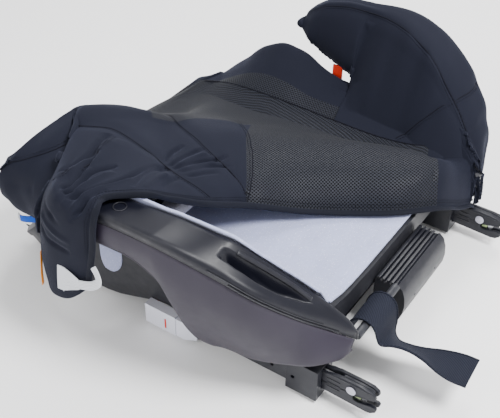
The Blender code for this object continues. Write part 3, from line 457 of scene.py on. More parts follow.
def polish(names, material, bevel=0.0):
    """Give CAD nodes a material and either rounded edges or smooth shading."""
    sharp = math.radians(35.0)
    for name in names:
        node = NODES[name]
        node.data.materials.clear()
        node.data.materials.append(material)
        node.data.shade_smooth()
        custom = node.data.attributes.get("custom_normal")
        if custom:
            node.data.attributes.remove(custom)
        weld = node.modifiers.new("weld", "WELD")
        weld.merge_threshold = 0.000002
        if bevel:
            edge = node.modifiers.new("edge", "BEVEL")
            edge.width = bevel * MM
            edge.segments = 3
            edge.limit_method = "ANGLE"
            edge.angle_limit = sharp
            edge.harden_normals = True
        else:
            split = node.modifiers.new("split", "EDGE_SPLIT")
            split.split_angle = sharp


# ------------------------------------------------------------------ colours
cloth = knit("cover_knit", (0.0085, 0.0098, 0.0185))
mesh_cloth = spacer_mesh("cover_spacer_mesh", (0.0100, 0.0118, 0.0200))
binding = knit("binding_rib", (0.008, 0.009, 0.015), pitch=1.4, weave="twill", relief=0.6)
# near-black thread: laid as tubes along seams, the crease and the valley, it is painted shade in
# their grooves
thread = knit("thread", (0.004, 0.004, 0.008), pitch=0.5, fleck=0.1)
webbing = knit("webbing_twill", (0.020, 0.023, 0.038), pitch=3.2, weave="twill", relief=1.0,
               sheen=0.02, gap_shade=0.9)
elastic = knit("elastic_rib", (0.74, 0.76, 0.80), pitch=1.3, weave="rib", fleck=0.06,
               sheen=0.1)
felt_cloth = felt("felt_fibres", (0.42, 0.46, 0.72))
foam_cells = foam("foam_cells", (0.36, 0.35, 0.36))
body_plastic = surface("body_plastic", (0.0048, 0.0052, 0.0100), 0.40,
                       grain=(1100.0, 0.06), wear=0.4)
panel_plastic = surface("panel_plastic", (0.0190, 0.0150, 0.0270), 0.50, grain=(1300.0, 0.16),
                        wear=0.25, mottle=(14.0, 0.12))
base_plastic = surface("base_plastic", (0.008, 0.008, 0.013), 0.60, grain=(1300.0, 0.2))
white_plastic = surface("white_plastic", (0.70, 0.71, 0.80), 0.35, mottle=(40.0, 0.03),
                        grain=(900.0, 0.03))
red_plastic = surface("red_plastic", (0.72, 0.035, 0.015), 0.35, grain=(900.0, 0.03))
green_plastic = surface("green_plastic", (0.42, 0.55, 0.25), 0.45)
blue_tape = knit("blue_tape", (0.010, 0.085, 0.48), pitch=1.0)
pale_tape = knit("pale_tape", (0.60, 0.63, 0.66), pitch=1.0)
orange_tape = knit("orange_tape", (0.95, 0.30, 0.02), pitch=1.0)
rubber = surface("rubber", (0.010, 0.010, 0.012), 0.80, grain=(500.0, 0.3))
dark_steel = surface("powder_coat", (0.008, 0.009, 0.015), 0.40, metallic=0.1,
                     grain=(1500.0, 0.25), wear=0.6)
bare_steel = surface("bare_steel", (0.50, 0.51, 0.54), 0.32, metallic=0.95,
                     grain=(1600.0, 0.12), wear=0.1)
pin_steel = surface("pin_steel", (0.46, 0.46, 0.54), 0.42, metallic=0.35, grain=(1200.0, 0.1))
connector_plastic = surface("connector_plastic", (0.0050, 0.0058, 0.0110), 0.34,
                            grain=(1200.0, 0.08), wear=0.5)

camera()
studio()


# ------------------------------------------------------------------ CAD nodes that stay
def both(*names):
    return [side + name for name in names for side in ("left_", "right_")]


polish(["seat_pan", "right_armrest", "right_side_panel"], body_plastic)
polish(["base_plate"], base_plastic, bevel=0.3)
polish(["rear_block"], body_plastic, bevel=0.7)
polish(both("guide_bracket"), connector_plastic, bevel=1.0)
polish(both("connector_outer", "connector_inner"), connector_plastic, bevel=0.7)
polish(both("release_housing", "release_button"), white_plastic, bevel=0.9)
polish(both("lock_indicator"), red_plastic, bevel=0.15)
polish(both("belt_guide"), red_plastic, bevel=0.6)
polish(both("latch_indicator"), green_plastic, bevel=0.4)
polish(both("rail") + ["rail_crossbar", "strap_bar"], dark_steel)
polish(both("slide_arm", "latch_hook", "lock_rocker"), bare_steel, bevel=0.2)
polish(both("hook_pin"), pin_steel)
polish(both("hook_spring", "rocker_pin", "button_spring"), bare_steel)
polish([f"base_screw_{k}" for k in (1, 2, 3, 4)], bare_steel)
polish([f"foot_{end}_{side}" for end in ("front", "rear") for side in ("left", "right")], rubber)


# ------------------------------------------------------------------ left arm and side panel
ARM_INNER_LOW = [(-48, 184, 148), (-30, 184, 141), (0, 184, 131), (18, 180, 120),
                 (26, 163, 114), (60, 160, 114.5), (100, 150, 109), (140, 137, 100),
                 (165, 128, 90), (186, 124, 76), (193, 127, 74)]
ARM_INNER_TOP = [(-48, 188, 158), (-40, 187, 171), (-6, 188, 181), (53, 184, 181),
                 (99, 178, 176), (121, 165, 156), (141, 151, 135), (171, 139, 112),
                 (186, 131, 95), (193, 129, 84)]
ARM_RIDGE = [(-48, 208, 160), (-40, 214, 173), (-6, 220, 182), (51, 220, 184),
             (103, 206, 164), (137, 190, 142), (160, 166, 117), (176, 148, 101),
             (193, 132, 87)]
PANEL_LOW = [(-48, 210, 150), (-8, 220, 149), (19, 220, 152), (36, 213, 138), (49, 205, 115),
             (60, 196, 74), (70, 188, 53), (80, 181, 44), (115, 175, 44), (147, 169, 51),
             (176, 159, 60), (187, 145, 61), (193, 136, 68)]
LIP_DROP = 9.0  # parting line below the ridge
RECESS_DEPTH = 16.0
RECESS_LIP = 7.5  # from the inner edge to the lip along the recess


def ease(points, y):
    """Smooth value through (y, x, z) design points, with no overshoot."""
    keys = [p[0] for p in points]
    values = np.array([p[1:] for p in points], float)
    slopes = np.gradient(values, keys, axis=0)
    y = min(max(y, keys[0]), keys[-1])
    k = min(max(int(np.searchsorted(keys, y)) - 1, 0), len(keys) - 2)
    span = keys[k + 1] - keys[k]
    t = (y - keys[k]) / span
    rise = values[k + 1] - values[k]
    ends = []
    for slope in (slopes[k], slopes[k + 1]):
        ends.append(np.clip(slope * span, -3 * abs(rise), 3 * abs(rise)) * (rise * slope > 0))
    return ((2 * t ** 3 - 3 * t ** 2 + 1) * values[k] + (t ** 3 - 2 * t ** 2 + t) * ends[0]
            + (3 * t ** 2 - 2 * t ** 3) * values[k + 1] + (t ** 3 - t ** 2) * ends[1])


ROUND_STEPS = 5


def rounded(points, radius):
    """A polyline of (x, z) points with its inner corners rounded."""
    points = [np.array(p, float) for p in points]
    line = [points[0]]
    for before, corner, after in zip(points, points[1:], points[2:]):
        back, on = before - corner, after - corner
        reach = min(radius, 0.45 * np.linalg.norm(back), 0.45 * np.linalg.norm(on))
        start = corner + back / np.linalg.norm(back) * reach
        end = corner + on / np.linalg.norm(on) * reach
        for t in np.linspace(0, 1, ROUND_STEPS):
            line.append((1 - t) ** 2 * start + 2 * t * (1 - t) * corner + t ** 2 * end)
    line.append(points[-1])
    return line


def smoothstep(value, low, high):
    t = np.clip((value - low) / (high - low), 0.0, 1.0)
    return t * t * (3 - 2 * t)


def left_arm():
    """Upper shell of the left arm: flat top, rounded edges, and the scooped recess behind."""
    rows = []
    for y in np.linspace(-50.0, 193.0, 150):
        low, inner, ridge = ease(ARM_INNER_LOW, y), ease(ARM_INNER_TOP, y), ease(ARM_RIDGE, y)
        drop = min(LIP_DROP, 0.5 * (ridge[1] - ease(PANEL_LOW, y)[1]))
        lip = (ridge[0] + 0.6, ridge[1] - drop + 0.3)
        line = rounded([low, (inner[0] - 0.4, inner[1]), (ridge[0], ridge[1]), lip], 4.5)
        foot, turn, top_in, top_out = line[0], line[1], line[ROUND_STEPS], line[ROUND_STEPS + 1]
        top = [top_in + (top_out - top_in) * k / 25 for k in range(1, 25)]
        wall = [foot + (turn - foot) * k / 5 for k in range(1, 5)]
        full = [foot] + wall + line[1:ROUND_STEPS + 1] + top + line[ROUND_STEPS + 1:]
        share = np.concatenate([np.zeros(10), np.linspace(0, 1, 26)[1:-1],
                                np.ones(len(full) - 34)])
        width = abs(top_out[0] - top_in[0])
        depth = (RECESS_DEPTH * smoothstep(y, 97.0, 102.5) * (1 - smoothstep(y, 130.0, 166.0))
                 * smoothstep(share * width, 4.5, 7.5)
                 * smoothstep((1 - share) * width, 7.0, 10.5))
        rows.append([(x, y, z - d) for (x, z), d in zip(full, depth)])
    points = np.array(rows)
    nose = points[0].mean(axis=0) + np.array((0.0, -3.0, -2.0))
    tip = nose + (points[0] - nose) * 0.45
    tip[:, 1] = points[0][:, 1] - 2.5
    points = np.concatenate([[tip], points])
    made = grid_object("left_arm_shell", points, (205, 20, 400), body_plastic, SHELL_WALL)
    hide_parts("left_armrest")
    ring = [(203 + 5.5 * math.cos(a), 6 + 5.5 * math.sin(a), 182.6)
            for a in np.linspace(0, 2 * math.pi, 25)]
    tube("left_arm_ring_mark", ring, 1.0, 0.7, (0.0, 0.0, 1.0), body_plastic, count=60)
    lip = []
    for y in np.linspace(106.0, 158.0, 14):
        inner, ridge = ease(ARM_INNER_TOP, y), ease(ARM_RIDGE, y)
        share = RECESS_LIP / max(ridge[0] - inner[0], 1.0)
        lip.append((inner[0] + RECESS_LIP, y, inner[1] + share * (ridge[1] - inner[1]) - 0.6))
    tube("left_arm_recess_lip", lip, 4.6, 3.6, (0.2, 0.3, 1.0), body_plastic,
         count=60, sides=14)


def left_panel():
    """Outer side panel, bulging between the parting line and its rounded lower edge."""
    rows = []
    for y in np.linspace(-48.0, 192.5, 130):
        ridge, low = ease(ARM_RIDGE, y), ease(PANEL_LOW, y)
        drop = min(LIP_DROP, 0.5 * (ridge[1] - low[1]))
        top = np.array((ridge[0] + 0.3, ridge[1] - drop - 0.4))
        depth = top[1] - low[1]
        middle = np.array((max(top[0], low[0]) + min(4.0, 0.2 * depth), low[1] + 0.55 * depth))
        line = [(1 - t) ** 2 * top + 2 * t * (1 - t) * middle + t ** 2 * np.array(low)
                for t in np.linspace(0, 1, 22)]
        turn = min(3.0, 0.12 * depth)
        line += [np.array(low) + np.array((-turn * s, -0.35 * turn * math.sin(s * math.pi)))
                 for s in (0.35, 0.8, 1.4)]
        rows.append([(x, y, z) for x, z in line])
    made = grid_object("left_panel_shell", np.array(rows), (1000, 60, 100), panel_plastic,
                       SHELL_WALL)
    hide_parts("left_side_panel")
    edge = [(x - 0.6, y, z - 0.3)
            for y in np.linspace(16.0, 70.0, 24) for x, z in [ease(PANEL_LOW, y)]]
    tube("left_panel_arch_bead", edge, 2.4, 2.0, (1.0, -0.4, 0.0), panel_plastic,
         count=90)
    for number, (start, end, down) in enumerate(((96.0, 172.0, 3.6), (112.0, 182.0, 6.4))):
        path = []
        for y in np.linspace(start, end, 20):
            ridge = ease(ARM_RIDGE, y)
            room = ridge[1] - ease(PANEL_LOW, y)[1]
            path.append((ridge[0] + 0.9, y, ridge[1] - min(down, 0.3 * room)))
        tube(f"left_arm_step_{number + 1}", path, 1.0, 1.2, (1.0, 0.2, 0.3), body_plastic,
             count=80)


left_arm()
left_panel()

# ------------------------------------------------------------------ felt and foam
CREST = [(-186, 140, 20), (-172, 156, 42), (-153, 162, 62), (-118, 163, 96), (-93, 163, 116),
         (-72, 162, 124), (-40, 162, 121), (-20, 162, 113), (10, 162, 110), (60, 160, 112),
         (100, 150, 107), (140, 137, 98), (166, 127, 88)]


def felt_parts():
    """Linings of the pan and of the left arm's inner side."""
    rows = []
    for y in np.linspace(-150.0, 160.5, 60):
        crest_x, crest_z = ease(CREST, y)
        level = 82.0 + 2.0 * smoothstep(y, -150.0, -100.0)
        run, drop = crest_x - 10.0 - 88.0, max(crest_z - level, 0.0)
        line = [(-90, level), (-44, level - 2), (0, level - 2), (44, level - 2), (78, level - 0.6),
                (88, level + 0.4), (88 + 0.30 * run, level + 0.20 * drop),
                (88 + 0.66 * run, level + 0.62 * drop), (crest_x - 10, crest_z)]
        rows.append([(x, y, z + 3.4) for x, z in line])
    points, outward = draped(rows, 120, 150, 0.5, 24.0, 2)
    points = press(points, outward, [(20, 60, 86), (60, 105, 86), (96, 132, 88)], 9.0, -0.8)
    pan_felt = grid_object("felt_pan_lining", points, (0, 20, 400), felt_cloth, 2.2)
    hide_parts("felt_liner")
    rows = []
    for y in np.linspace(-3.0, 160.0, 50):
        low, inner = ease(ARM_INNER_LOW, y), ease(ARM_INNER_TOP, y)
        tuck = smoothstep(y, 20.0, 40.0)
        start = low + np.array((-2.0 - 4.0 * tuck, 2.0))
        top = inner + np.array((-1.6, 3.2 + 0.5 * math.sin(y / 11.0)))
        rows.append([(x, y, z) for t in (0.0, 0.3, 0.6, 0.85, 1.0)
                     for x, z in [start + (top - start) * t]])
    rows = np.array(rows)
    rows[:, 1:4, 0] -= 1.6
    points, _ = draped(rows, 40, 120, 0.5, 13.0, 0, -1)
    arm_felt = grid_object("felt_arm_lining", points, (0, 60, 200), felt_cloth, 2.4)
    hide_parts("left_arm_liner")


def oblong(low, high, sag, power=5.0, steps=56):
    """Grid of a soft block: a superellipse lofted along Y, its top sinking a little."""
    low, high = np.array(low, float), np.array(high, float)
    centre, half = (low + high) / 2, (high - low) / 2
    rows = []
    for t in np.linspace(-1, 1, 24):
        shrink = max((1 - abs(t) ** power) ** (1 / power), 0.02)
        ring = []
        for k in range(steps + 1):
            across, up = superellipse(2 * math.pi * k / steps, power)
            x, z = across * half[0] * shrink, up * half[2] * shrink
            drop = sag * (1 - t * t) * (1 - (x / half[0]) ** 2) if z > 0 else 0.0
            ring.append((centre[0] + x, centre[1] + t * half[1], centre[2] + z - drop))
        rows.append(ring)
    return np.array(rows)


def foam_parts():
    """Foam block beside the left arm, under a black band."""
    points = oblong((102, -46, 122), (142, 12, 140), 1.5)
    made = grid_object("foam_side_block", points, (122, -17, 400), foam_cells,
                       closed=True)
    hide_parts("foam_insert")
    strip = [(103.2, -7, 123), (103, -7, 131), (104, -7, 138), (108, -7, 140.4), (122, -7, 139.4),
             (136, -7, 140.4), (140.6, -7, 138), (141.4, -7, 131), (141.4, -7, 123)]
    tube("foam_retaining_band", strip, 7.0, 1.2, (0.0, 0.0, 1.0), binding,
         count=90)


felt_parts()
foam_parts()

# ------------------------------------------------------------------ cover over the seat
def pan_height(x, y):
    """Top of the seat pan and its felt at a place."""
    crest_x, crest_z = ease(CREST, y)
    level = float(np.interp(y, [-186, -180, -168, -140, -100], [20, 52, 70, 80, 84]))
    run, rise = crest_x - 98.0, max(crest_z - level, 0.0)
    return float(np.interp(abs(x), [88, 88 + 0.30 * run, 88 + 0.66 * run, crest_x - 10, crest_x],
                           [level, level + 0.20 * rise, level + 0.62 * rise, level + rise,
                            level + rise - 6]))


def arm_height(x, y):
    """Top of the right armrest at a place, far below zero where there's no armrest."""
    low, inner, ridge = ease(ARM_INNER_LOW, y), ease(ARM_INNER_TOP, y), ease(ARM_RIDGE, y)
    if y < -48 or not low[0] - 2 < -x < ridge[0] + 2:
        return -500.0
    return float(np.interp(-x, [low[0], inner[0], ridge[0]], [low[1], inner[1], ridge[1]]))


TOP_X = np.linspace(-230.0, 175.0, 104)
TOP_Y = np.linspace(-186.0, 194.0, 96)
TOPS = np.array([[max(pan_height(x, y) + 6.3 if abs(x) < 166 and y < 158 else -500.0,
                      arm_height(x, y) + 3.8) for x in TOP_X] for y in TOP_Y])


SLIDE = np.array((0.649, 0.427, 0.629))


def clear_of_shell(points, lift=0.0):
    """Slide cloth that would sink into the pan or the arm, up and towards the rear left."""
    points = points.copy()
    for _ in range(26):
        x, y, z = points[..., 0], points[..., 1], points[..., 2]
        fx = np.clip((x - TOP_X[0]) / (TOP_X[1] - TOP_X[0]), 0, len(TOP_X) - 1.001)
        fy = np.clip((y - TOP_Y[0]) / (TOP_Y[1] - TOP_Y[0]), 0, len(TOP_Y) - 1.001)
        ix, iy = fx.astype(int), fy.astype(int)
        tx, ty = fx - ix, fy - iy
        top = ((TOPS[iy, ix] * (1 - tx) + TOPS[iy, ix + 1] * tx) * (1 - ty)
               + (TOPS[iy + 1, ix] * (1 - tx) + TOPS[iy + 1, ix + 1] * tx) * ty)
        points += SLIDE * (np.clip(top + lift - z, 0.0, 2.0) * 0.7)[..., None]
    return points


def snap(points, path, count):
    """A path laid onto the nearest part of a grid, smoothed."""
    flat = points.reshape(-1, 3)
    line = []
    for place in even(np.array(path, float), count):
        gap = np.linalg.norm(flat - place, axis=1)
        near = np.argsort(gap)[:4]
        line.append(flat[near].mean(axis=0))
    line = np.array(line)
    for _ in range(3):
        line[1:-1] = (line[:-2] + 2 * line[1:-1] + line[2:]) / 4
    return line


def seam_and_shade_line(name, points, path):
    """Near-black thread tube along a line on the cloth, with a row of top stitches beside it: on a
    seam it is the seam's thread and painted shade in the groove, on a fold or valley with no seam
    it is painted shade only.
    """
    count = 70
    line = snap(points, path, count)
    tube(name, line, 1.1, 1.1, (0.3, 0.1, 1.0), thread, count=count * 2, sides=6)
    ahead = np.gradient(line, axis=0)
    side = np.cross(ahead, (0.2, 0.2, 1.0))
    side /= np.linalg.norm(side, axis=1)[:, None]
    stitches(name + "_stitch", snap(points, line + side * 3.0, count), (0.2, 0.1, 0.4))


COVER_ROWS = [  # from the hem towards the front, row by row from the rear to the flap's end
    [(-124, 190, 52), (-126, 189, 66), (-128, 187, 80), (-130, 183, 92), (-133, 178, 98),
     (-136, 172, 101), (-140, 166, 103), (-144, 160, 105), (-148, 155, 106), (-152, 150, 108)],
    [(-95, 186, 66), (-99, 184, 80), (-103, 180, 92), (-108, 176, 99), (-113, 171, 102),
     (-118, 165, 101), (-122, 158, 99), (-125, 152, 98), (-130, 148, 100), (-136, 145, 104)],
    [(-62, 178, 84), (-68, 174, 99), (-76, 170, 111), (-84, 165, 117), (-92, 160, 118),
     (-100, 152, 112), (-108, 143, 98), (-112, 140, 96), (-118, 138, 99), (-126, 136, 104)],
    [(-26, 153, 91), (-34, 149, 105), (-46, 143, 116), (-62, 133, 121), (-80, 122, 121),
     (-92, 114, 114), (-102, 109, 104), (-108, 106, 95), (-114, 104, 91), (-122, 101, 97)],
    [(2, 114, 91), (-8, 108, 105), (-22, 100, 117), (-40, 89, 122), (-60, 77, 122),
     (-76, 71, 114), (-90, 67, 103), (-103, 63, 93), (-118, 60, 86), (-124, 58, 92)],
    [(33, 77, 97), (23, 70, 109), (9, 61, 120), (-11, 49, 125), (-33, 35, 124),
     (-55, 24, 116), (-76, 14, 105), (-98, 6, 94), (-120, 0, 86), (-126, -2, 92)],
    [(74, 47, 117), (62, 38, 126), (46, 26, 131), (22, 9, 133), (-5, -9, 130),
     (-34, -24, 118), (-62, -37, 104), (-92, -50, 93), (-120, -62, 86), (-126, -64, 92)],
    [(124, 32, 145), (108, 20, 148), (86, 4, 148), (60, -14, 146), (32, -34, 143),
     (4, -54, 134), (-30, -78, 116), (-72, -103, 98), (-114, -125, 86), (-124, -130, 90)],
    [(157, 23, 168), (141, 10, 166), (119, -7, 162), (95, -26, 157), (73, -43, 154),
     (50, -61, 151), (29, -77, 148), (-10, -112, 106), (-54, -148, 91), (-104, -150, 90)],
    [(182, 20, 187), (165, 7, 184), (144, -11, 178), (116, -34, 171), (93, -55, 166),
     (69, -78, 161), (50, -98, 157), (20, -140, 118), (-20, -176, 80), (-58, -184, 60)],
    [(195, 5, 188), (181, -9, 187), (163, -28, 182), (138, -52, 177), (118, -71, 174),
     (94, -93, 169), (69, -116, 164), (45, -155, 130), (20, -183, 95), (5, -192, 50)],
    [(209, -6, 189), (202, -18, 189), (187, -37, 184), (163, -62, 178), (137, -85, 174),
     (110, -110, 169), (83, -131, 166), (70, -165, 135), (58, -187, 98), (50, -192, 52)],
    [(222, -3, 187), (216, -20, 187), (206, -40, 183), (182, -70, 175), (154, -95, 169),
     (128, -116, 168), (98, -141, 167), (96, -170, 135), (96, -188, 100), (95, -192, 54)],
    [(227, -4, 172), (229, -17, 173), (228, -32, 178), (216, -56, 181), (190, -82, 166),
     (155, -103, 163), (124, -123, 165), (118, -140, 150), (115, -155, 120), (112, -165, 90)],
    [(227, -8, 146), (229, -25, 139), (230, -42, 142), (227, -58, 150), (214, -74, 156),
     (190, -88, 151), (165, -100, 157), (150, -115, 140), (140, -132, 115), (135, -145, 90)],
    [(227, -15, 115), (229, -30, 110), (230, -46, 106), (229, -61, 107), (224, -73, 112),
     (216, -80, 124), (208, -86, 140), (190, -92, 125), (175, -102, 103), (165, -112, 85)],
    [(228, -18, 97), (229, -28, 86), (229, -40, 75), (228, -53, 69), (226, -66, 68),
     (221, -74, 78), (213, -80, 96), (198, -90, 92), (182, -98, 86), (168, -108, 80)],
]
# sewn seams, the raised fold and the crease below the horn
SEAM_C = [(119, -120, 168), (112, -102, 171), (106, -82, 172), (111, -55, 173),
          (116, -34, 171), (117, 0, 163), (113, 19, 152), (110, 29, 144)]
SEAM_D = [(44, -99, 157), (37, -80, 152), (37, -61, 150), (52, -20, 148), (60, 14, 136),
          (66, 40, 122)]
WEDGE = [(200, -66, 172), (192, -65, 173), (178, -60, 176), (162, -57, 178), (144, -62, 176),
         (122, -71, 174)]
CREASE = [(98, -141, 167), (124, -123, 165), (142, -112, 162), (165, -100, 157),
          (190, -90, 149), (208, -86, 140)]
MESH_NEAR = [(-40, -40, 118), (-12, -13, 131), (36, 25, 131), (75, 45, 118)]
MESH_HEM_END = [(-42, 177, 90), (-70, 165, 112), (-95, 148, 112), (-112, 140, 96)]
# the mesh panel's first and last rows in COVER_ROWS, and the column where the last row changes
MESH_FIRST, MESH_LAST_NEAR, MESH_LAST_FAR, MESH_STEP = 2.05, 6.03, 8.7, 5.3
WRINKLES = [  # path, width, depth: below zero is a groove
    ([(222, -52, 172), (212, -50, 178), (199, -50, 181), (180, -54, 180), (150, -62, 177)],
     2.6, -6.0),
    ([(220, -46, 180), (206, -40, 183), (181, -44, 182), (160, -33, 181)], 2.4, -6.5),
    ([(223, -40, 178), (212, -28, 185), (204, -22, 187), (178, -13, 186), (146, -12, 176),
      (115, -12, 161)], 2.4, -6.0),
    ([(229, -26, 170), (224, -19, 180), (216, -17, 187), (198, -11, 188)], 2.2, -5.0),
    ([(224, -46, 172), (214, -44, 182), (196, -46, 183), (176, -49, 181)], 3.4, 3.0),
    ([(226, -36, 176), (214, -35, 184), (196, -32, 185), (170, -28, 183)], 3.4, 3.2),
    ([(227, -26, 176), (218, -24, 186), (200, -18, 188), (170, -8, 185)], 3.0, 2.8),
    ([(226, -34, 160), (226, -50, 164), (216, -64, 164)], 2.6, -4.6),
    ([(228, -28, 146), (228, -48, 150), (220, -68, 156)], 3.0, 3.0),
    ([(228, -30, 134), (228, -52, 136), (222, -70, 142)], 2.6, -3.8),
    ([(210, -54, 178), (196, -66, 174), (180, -72, 170), (160, -80, 169)], 2.6, -5.0),
    ([(182, -66, 172), (168, -66, 174), (152, -68, 174), (132, -78, 172)], 2.6, -4.6),
    ([(116, -9, 161), (92, -8, 155), (64, -2, 144), (44, 2, 139)], 2.2, -4.6),
    ([(113, -3, 160), (90, 2, 153), (68, 6, 143), (52, 12, 138)], 2.0, -3.8),
    ([(116, -13, 162), (88, -18, 155), (56, -18, 146)], 2.0, -4.2),
    ([(114, -18, 163), (92, -28, 157), (70, -32, 151)], 2.2, -3.2),
    ([(110, -5, 159), (88, -3, 154), (64, 2, 144)], 2.0, 3.0),
    ([(112, -12, 161), (88, -13, 155), (60, -10, 145)], 2.0, 3.2),
    ([(112, 4, 156), (92, 9, 150), (74, 14, 143)], 2.2, -2.8),
    ([(182, 2, 186), (158, -6, 180), (134, -8, 171), (118, -10, 163)], 2.6, -3.6),
    ([(176, 10, 184), (152, 2, 176), (128, -2, 167)], 2.8, 2.6),
    ([(160, 12, 174), (140, 6, 166), (120, 2, 160)], 2.4, -2.6),
]


def crease_all(points, outward, plan):
    """Sewn seams: a fine groove in a wider pull."""
    for path in plan:
        for width in (9.0, 1.7):
            points = press(points, outward, path, width, -2.0, False)
    return points


def cover_over_seat():
    """The bunched cover from its rear hem over the seat and left horn to the hanging flap."""
    points, outward = draped(COVER_ROWS, 260, 420, 1.1, 30.0, 2)
    for path, width, depth in WRINKLES:
        points = press(points, outward, path, width, depth)
    points = press(points, outward, WEDGE, 10.0, 4.5)
    points = press(points, outward, [(p[0] - 3, p[1] - 9, p[2]) for p in WEDGE], 4.0, -6.0)
    points = crease_all(points, outward, [SEAM_C, SEAM_D, MESH_NEAR, MESH_HEM_END])
    points = press(points, outward, CREASE, 6.0, -4.0, False)
    points = clear_of_shell(points, 1.6)
    # the wedge fold, the crease and the valley are not sewn: the dark thread lines laid along them
    # are painted shade only
    for name, path in (("c", SEAM_C), ("d", SEAM_D), ("wedge", WEDGE), ("crease", CREASE),
                       ("mesh_near", MESH_NEAR), ("valley", points[8:225:16, -3])):
        seam_and_shade_line("cover_seam_and_shade_line_" + name, points, path)
    made = grid_object("cover_main_panel", points, (-20, 60, 400), cloth,
                       CLOTH_THICKNESS)
    made.data.materials.append(mesh_cloth)
    rows, cols = points.shape[:2]
    row_at = np.linspace(0, len(COVER_ROWS) - 1, rows)[:-1, None]
    col_at = np.linspace(0, len(COVER_ROWS[0]) - 1, cols)[None, :-1]
    last = np.where(col_at < MESH_STEP, MESH_LAST_NEAR, MESH_LAST_FAR)
    is_mesh = (MESH_FIRST < row_at) & (row_at < last)
    made.data.polygons.foreach_set("material_index", is_mesh.ravel().astype(np.int32))
    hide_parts("seat_cover", "cover_fold", "left_horn_cover")
    return made


cover = cover_over_seat()

# ------------------------------------------------------------------ cover, front corner
FRONT_ROWS = [  # from the horn outwards and down
    [(98, -141, 167), (113, -146, 163), (130, -150, 158), (149, -152, 154), (165, -156, 148),
     (166, -168, 138), (160, -178, 120)],
    [(120, -126, 165), (136, -127, 162), (152, -133, 158), (162, -143, 152), (174, -156, 144),
     (176, -168, 130), (166, -180, 112)],
    [(137, -115, 160), (149, -120, 158), (161, -130, 154), (170, -142, 148), (178, -160, 136),
     (178, -171, 122), (166, -182, 104)],
    [(161, -103, 153), (169, -111, 149), (174, -126, 141), (177, -145, 130), (180, -163, 122),
     (178, -173, 110), (166, -183, 96)],
    [(183, -94, 142), (183, -107, 134), (182, -128, 122), (179, -151, 110), (180, -164, 107),
     (176, -174, 98), (164, -183, 88)],
    [(198, -92, 128), (190, -112, 112), (181, -137, 97), (177, -156, 90), (175, -166, 92),
     (170, -175, 88), (160, -183, 80)],
    [(188, -98, 108), (180, -116, 94), (172, -138, 82), (166, -152, 78), (164, -164, 78),
     (160, -174, 76), (154, -181, 72)],
]
FRONT_SEAM = [(137, -115, 160), (149, -120, 158), (161, -130, 154), (170, -142, 148),
              (176, -157, 140)]
SKIRT_ROWS = [  # down the seat's front
    [(98, -141, 167), (113, -146, 163), (130, -150, 158), (149, -152, 154), (162, -158, 146),
     (166, -166, 134), (166, -172, 116), (162, -176, 98), (158, -178, 84)],
    [(97, -170, 138), (112, -172, 136), (128, -174, 132), (142, -176, 126), (152, -178, 118),
     (157, -179, 108), (158, -180, 98), (157, -181, 88), (155, -181, 78)],
    [(96, -188, 100), (109, -188, 100), (122, -188, 98), (134, -187, 95), (143, -186, 91),
     (149, -185, 86), (152, -184, 81), (153, -183, 76), (152, -182, 72)],
    [(95, -192, 54), (108, -192, 55), (120, -191, 56), (131, -190, 57), (139, -188, 58),
     (145, -186, 60), (148, -184, 62), (150, -183, 64), (150, -182, 66)],
]


def front_corner():
    """Folded corner under the left horn, and the skirt down the seat's front."""
    points, outward = draped(FRONT_ROWS, 110, 130, 1.4, 22.0, 0)
    points = press(points, outward, [(180, -120, 130), (174, -138, 124), (168, -158, 118)],
                   6.0, -2.0)
    points = crease_all(points, outward, [FRONT_SEAM])
    seam_and_shade_line("cover_front_seam", points, FRONT_SEAM)
    made = grid_object("cover_front_corner", points, (400, -130, 150), cloth,
                       CLOTH_THICKNESS)
    points, _ = draped(SKIRT_ROWS, 110, 90, 1.2, 20.0, 1, -1)
    skirt = grid_object("cover_front_skirt", points, (130, -400, 120), cloth,
                        CLOTH_THICKNESS)


front_corner()

# ------------------------------------------------------------------ cover on the right arm
ARM_LINES = [  # valley beside the seat, gusset seam, outer contour
    ((-117, 36, 88), (-192, 24, 194), (-214, 19, 195)),
    ((-117, 50, 88), (-189, 44, 195), (-215, 40, 197)),
    ((-117, 64, 88), (-183, 63, 194), (-216, 60, 197)),
    ((-117, 77, 88), (-177, 78, 192), (-216, 77, 194)),
    ((-116, 92, 89), (-172, 95, 185), (-214, 93, 189)),
    ((-115, 104, 90), (-166, 107, 181), (-211, 106, 184)),
    ((-114, 116, 92), (-161, 120, 172), (-208, 119, 176)),
    ((-113, 127, 94), (-158, 132, 158), (-204, 130, 169)),
    ((-113, 138, 96), (-155, 143, 147), (-200, 142, 159)),
    ((-115, 148, 97), (-152, 152, 138), (-195, 151, 151)),
    ((-118, 156, 98), (-149, 159, 130), (-190, 158, 143)),
    ((-121, 164, 98), (-146, 166, 121), (-184, 166, 134)),
    ((-124, 171, 97), (-144, 171, 112), (-178, 171, 122)),
    ((-126, 179, 94), (-142, 179, 103), (-173, 177, 112)),
    ((-127, 185, 86), (-142, 186, 93), (-168, 179, 101)),
    ((-127, 190, 76), (-142, 191, 82), (-163, 181, 90)),
    ((-126, 194, 65), (-142, 194, 68), (-159, 183, 76)),
    ((-126, 195, 54), (-142, 195, 50), (-156, 184, 48)),
]
HORN = [  # y, underside z, gusset seam (x, z), outer contour (x, z)
    (-64, 153, (-199, 158), (-205, 158)), (-61, 148, (-196, 166), (-208, 165)),
    (-54, 143, (-194, 173), (-211, 172)), (-46, 138, (-193, 179), (-213, 178)),
    (-34, 132, (-192, 186), (-214, 185)), (-20, 126, (-192, 190), (-214, 190)),
    (-7, 120, (-192, 193), (-214, 193)), (4, 115, (-192, 194), (-214, 194)),
    (13, 112, (-192, 194), (-214, 195))]


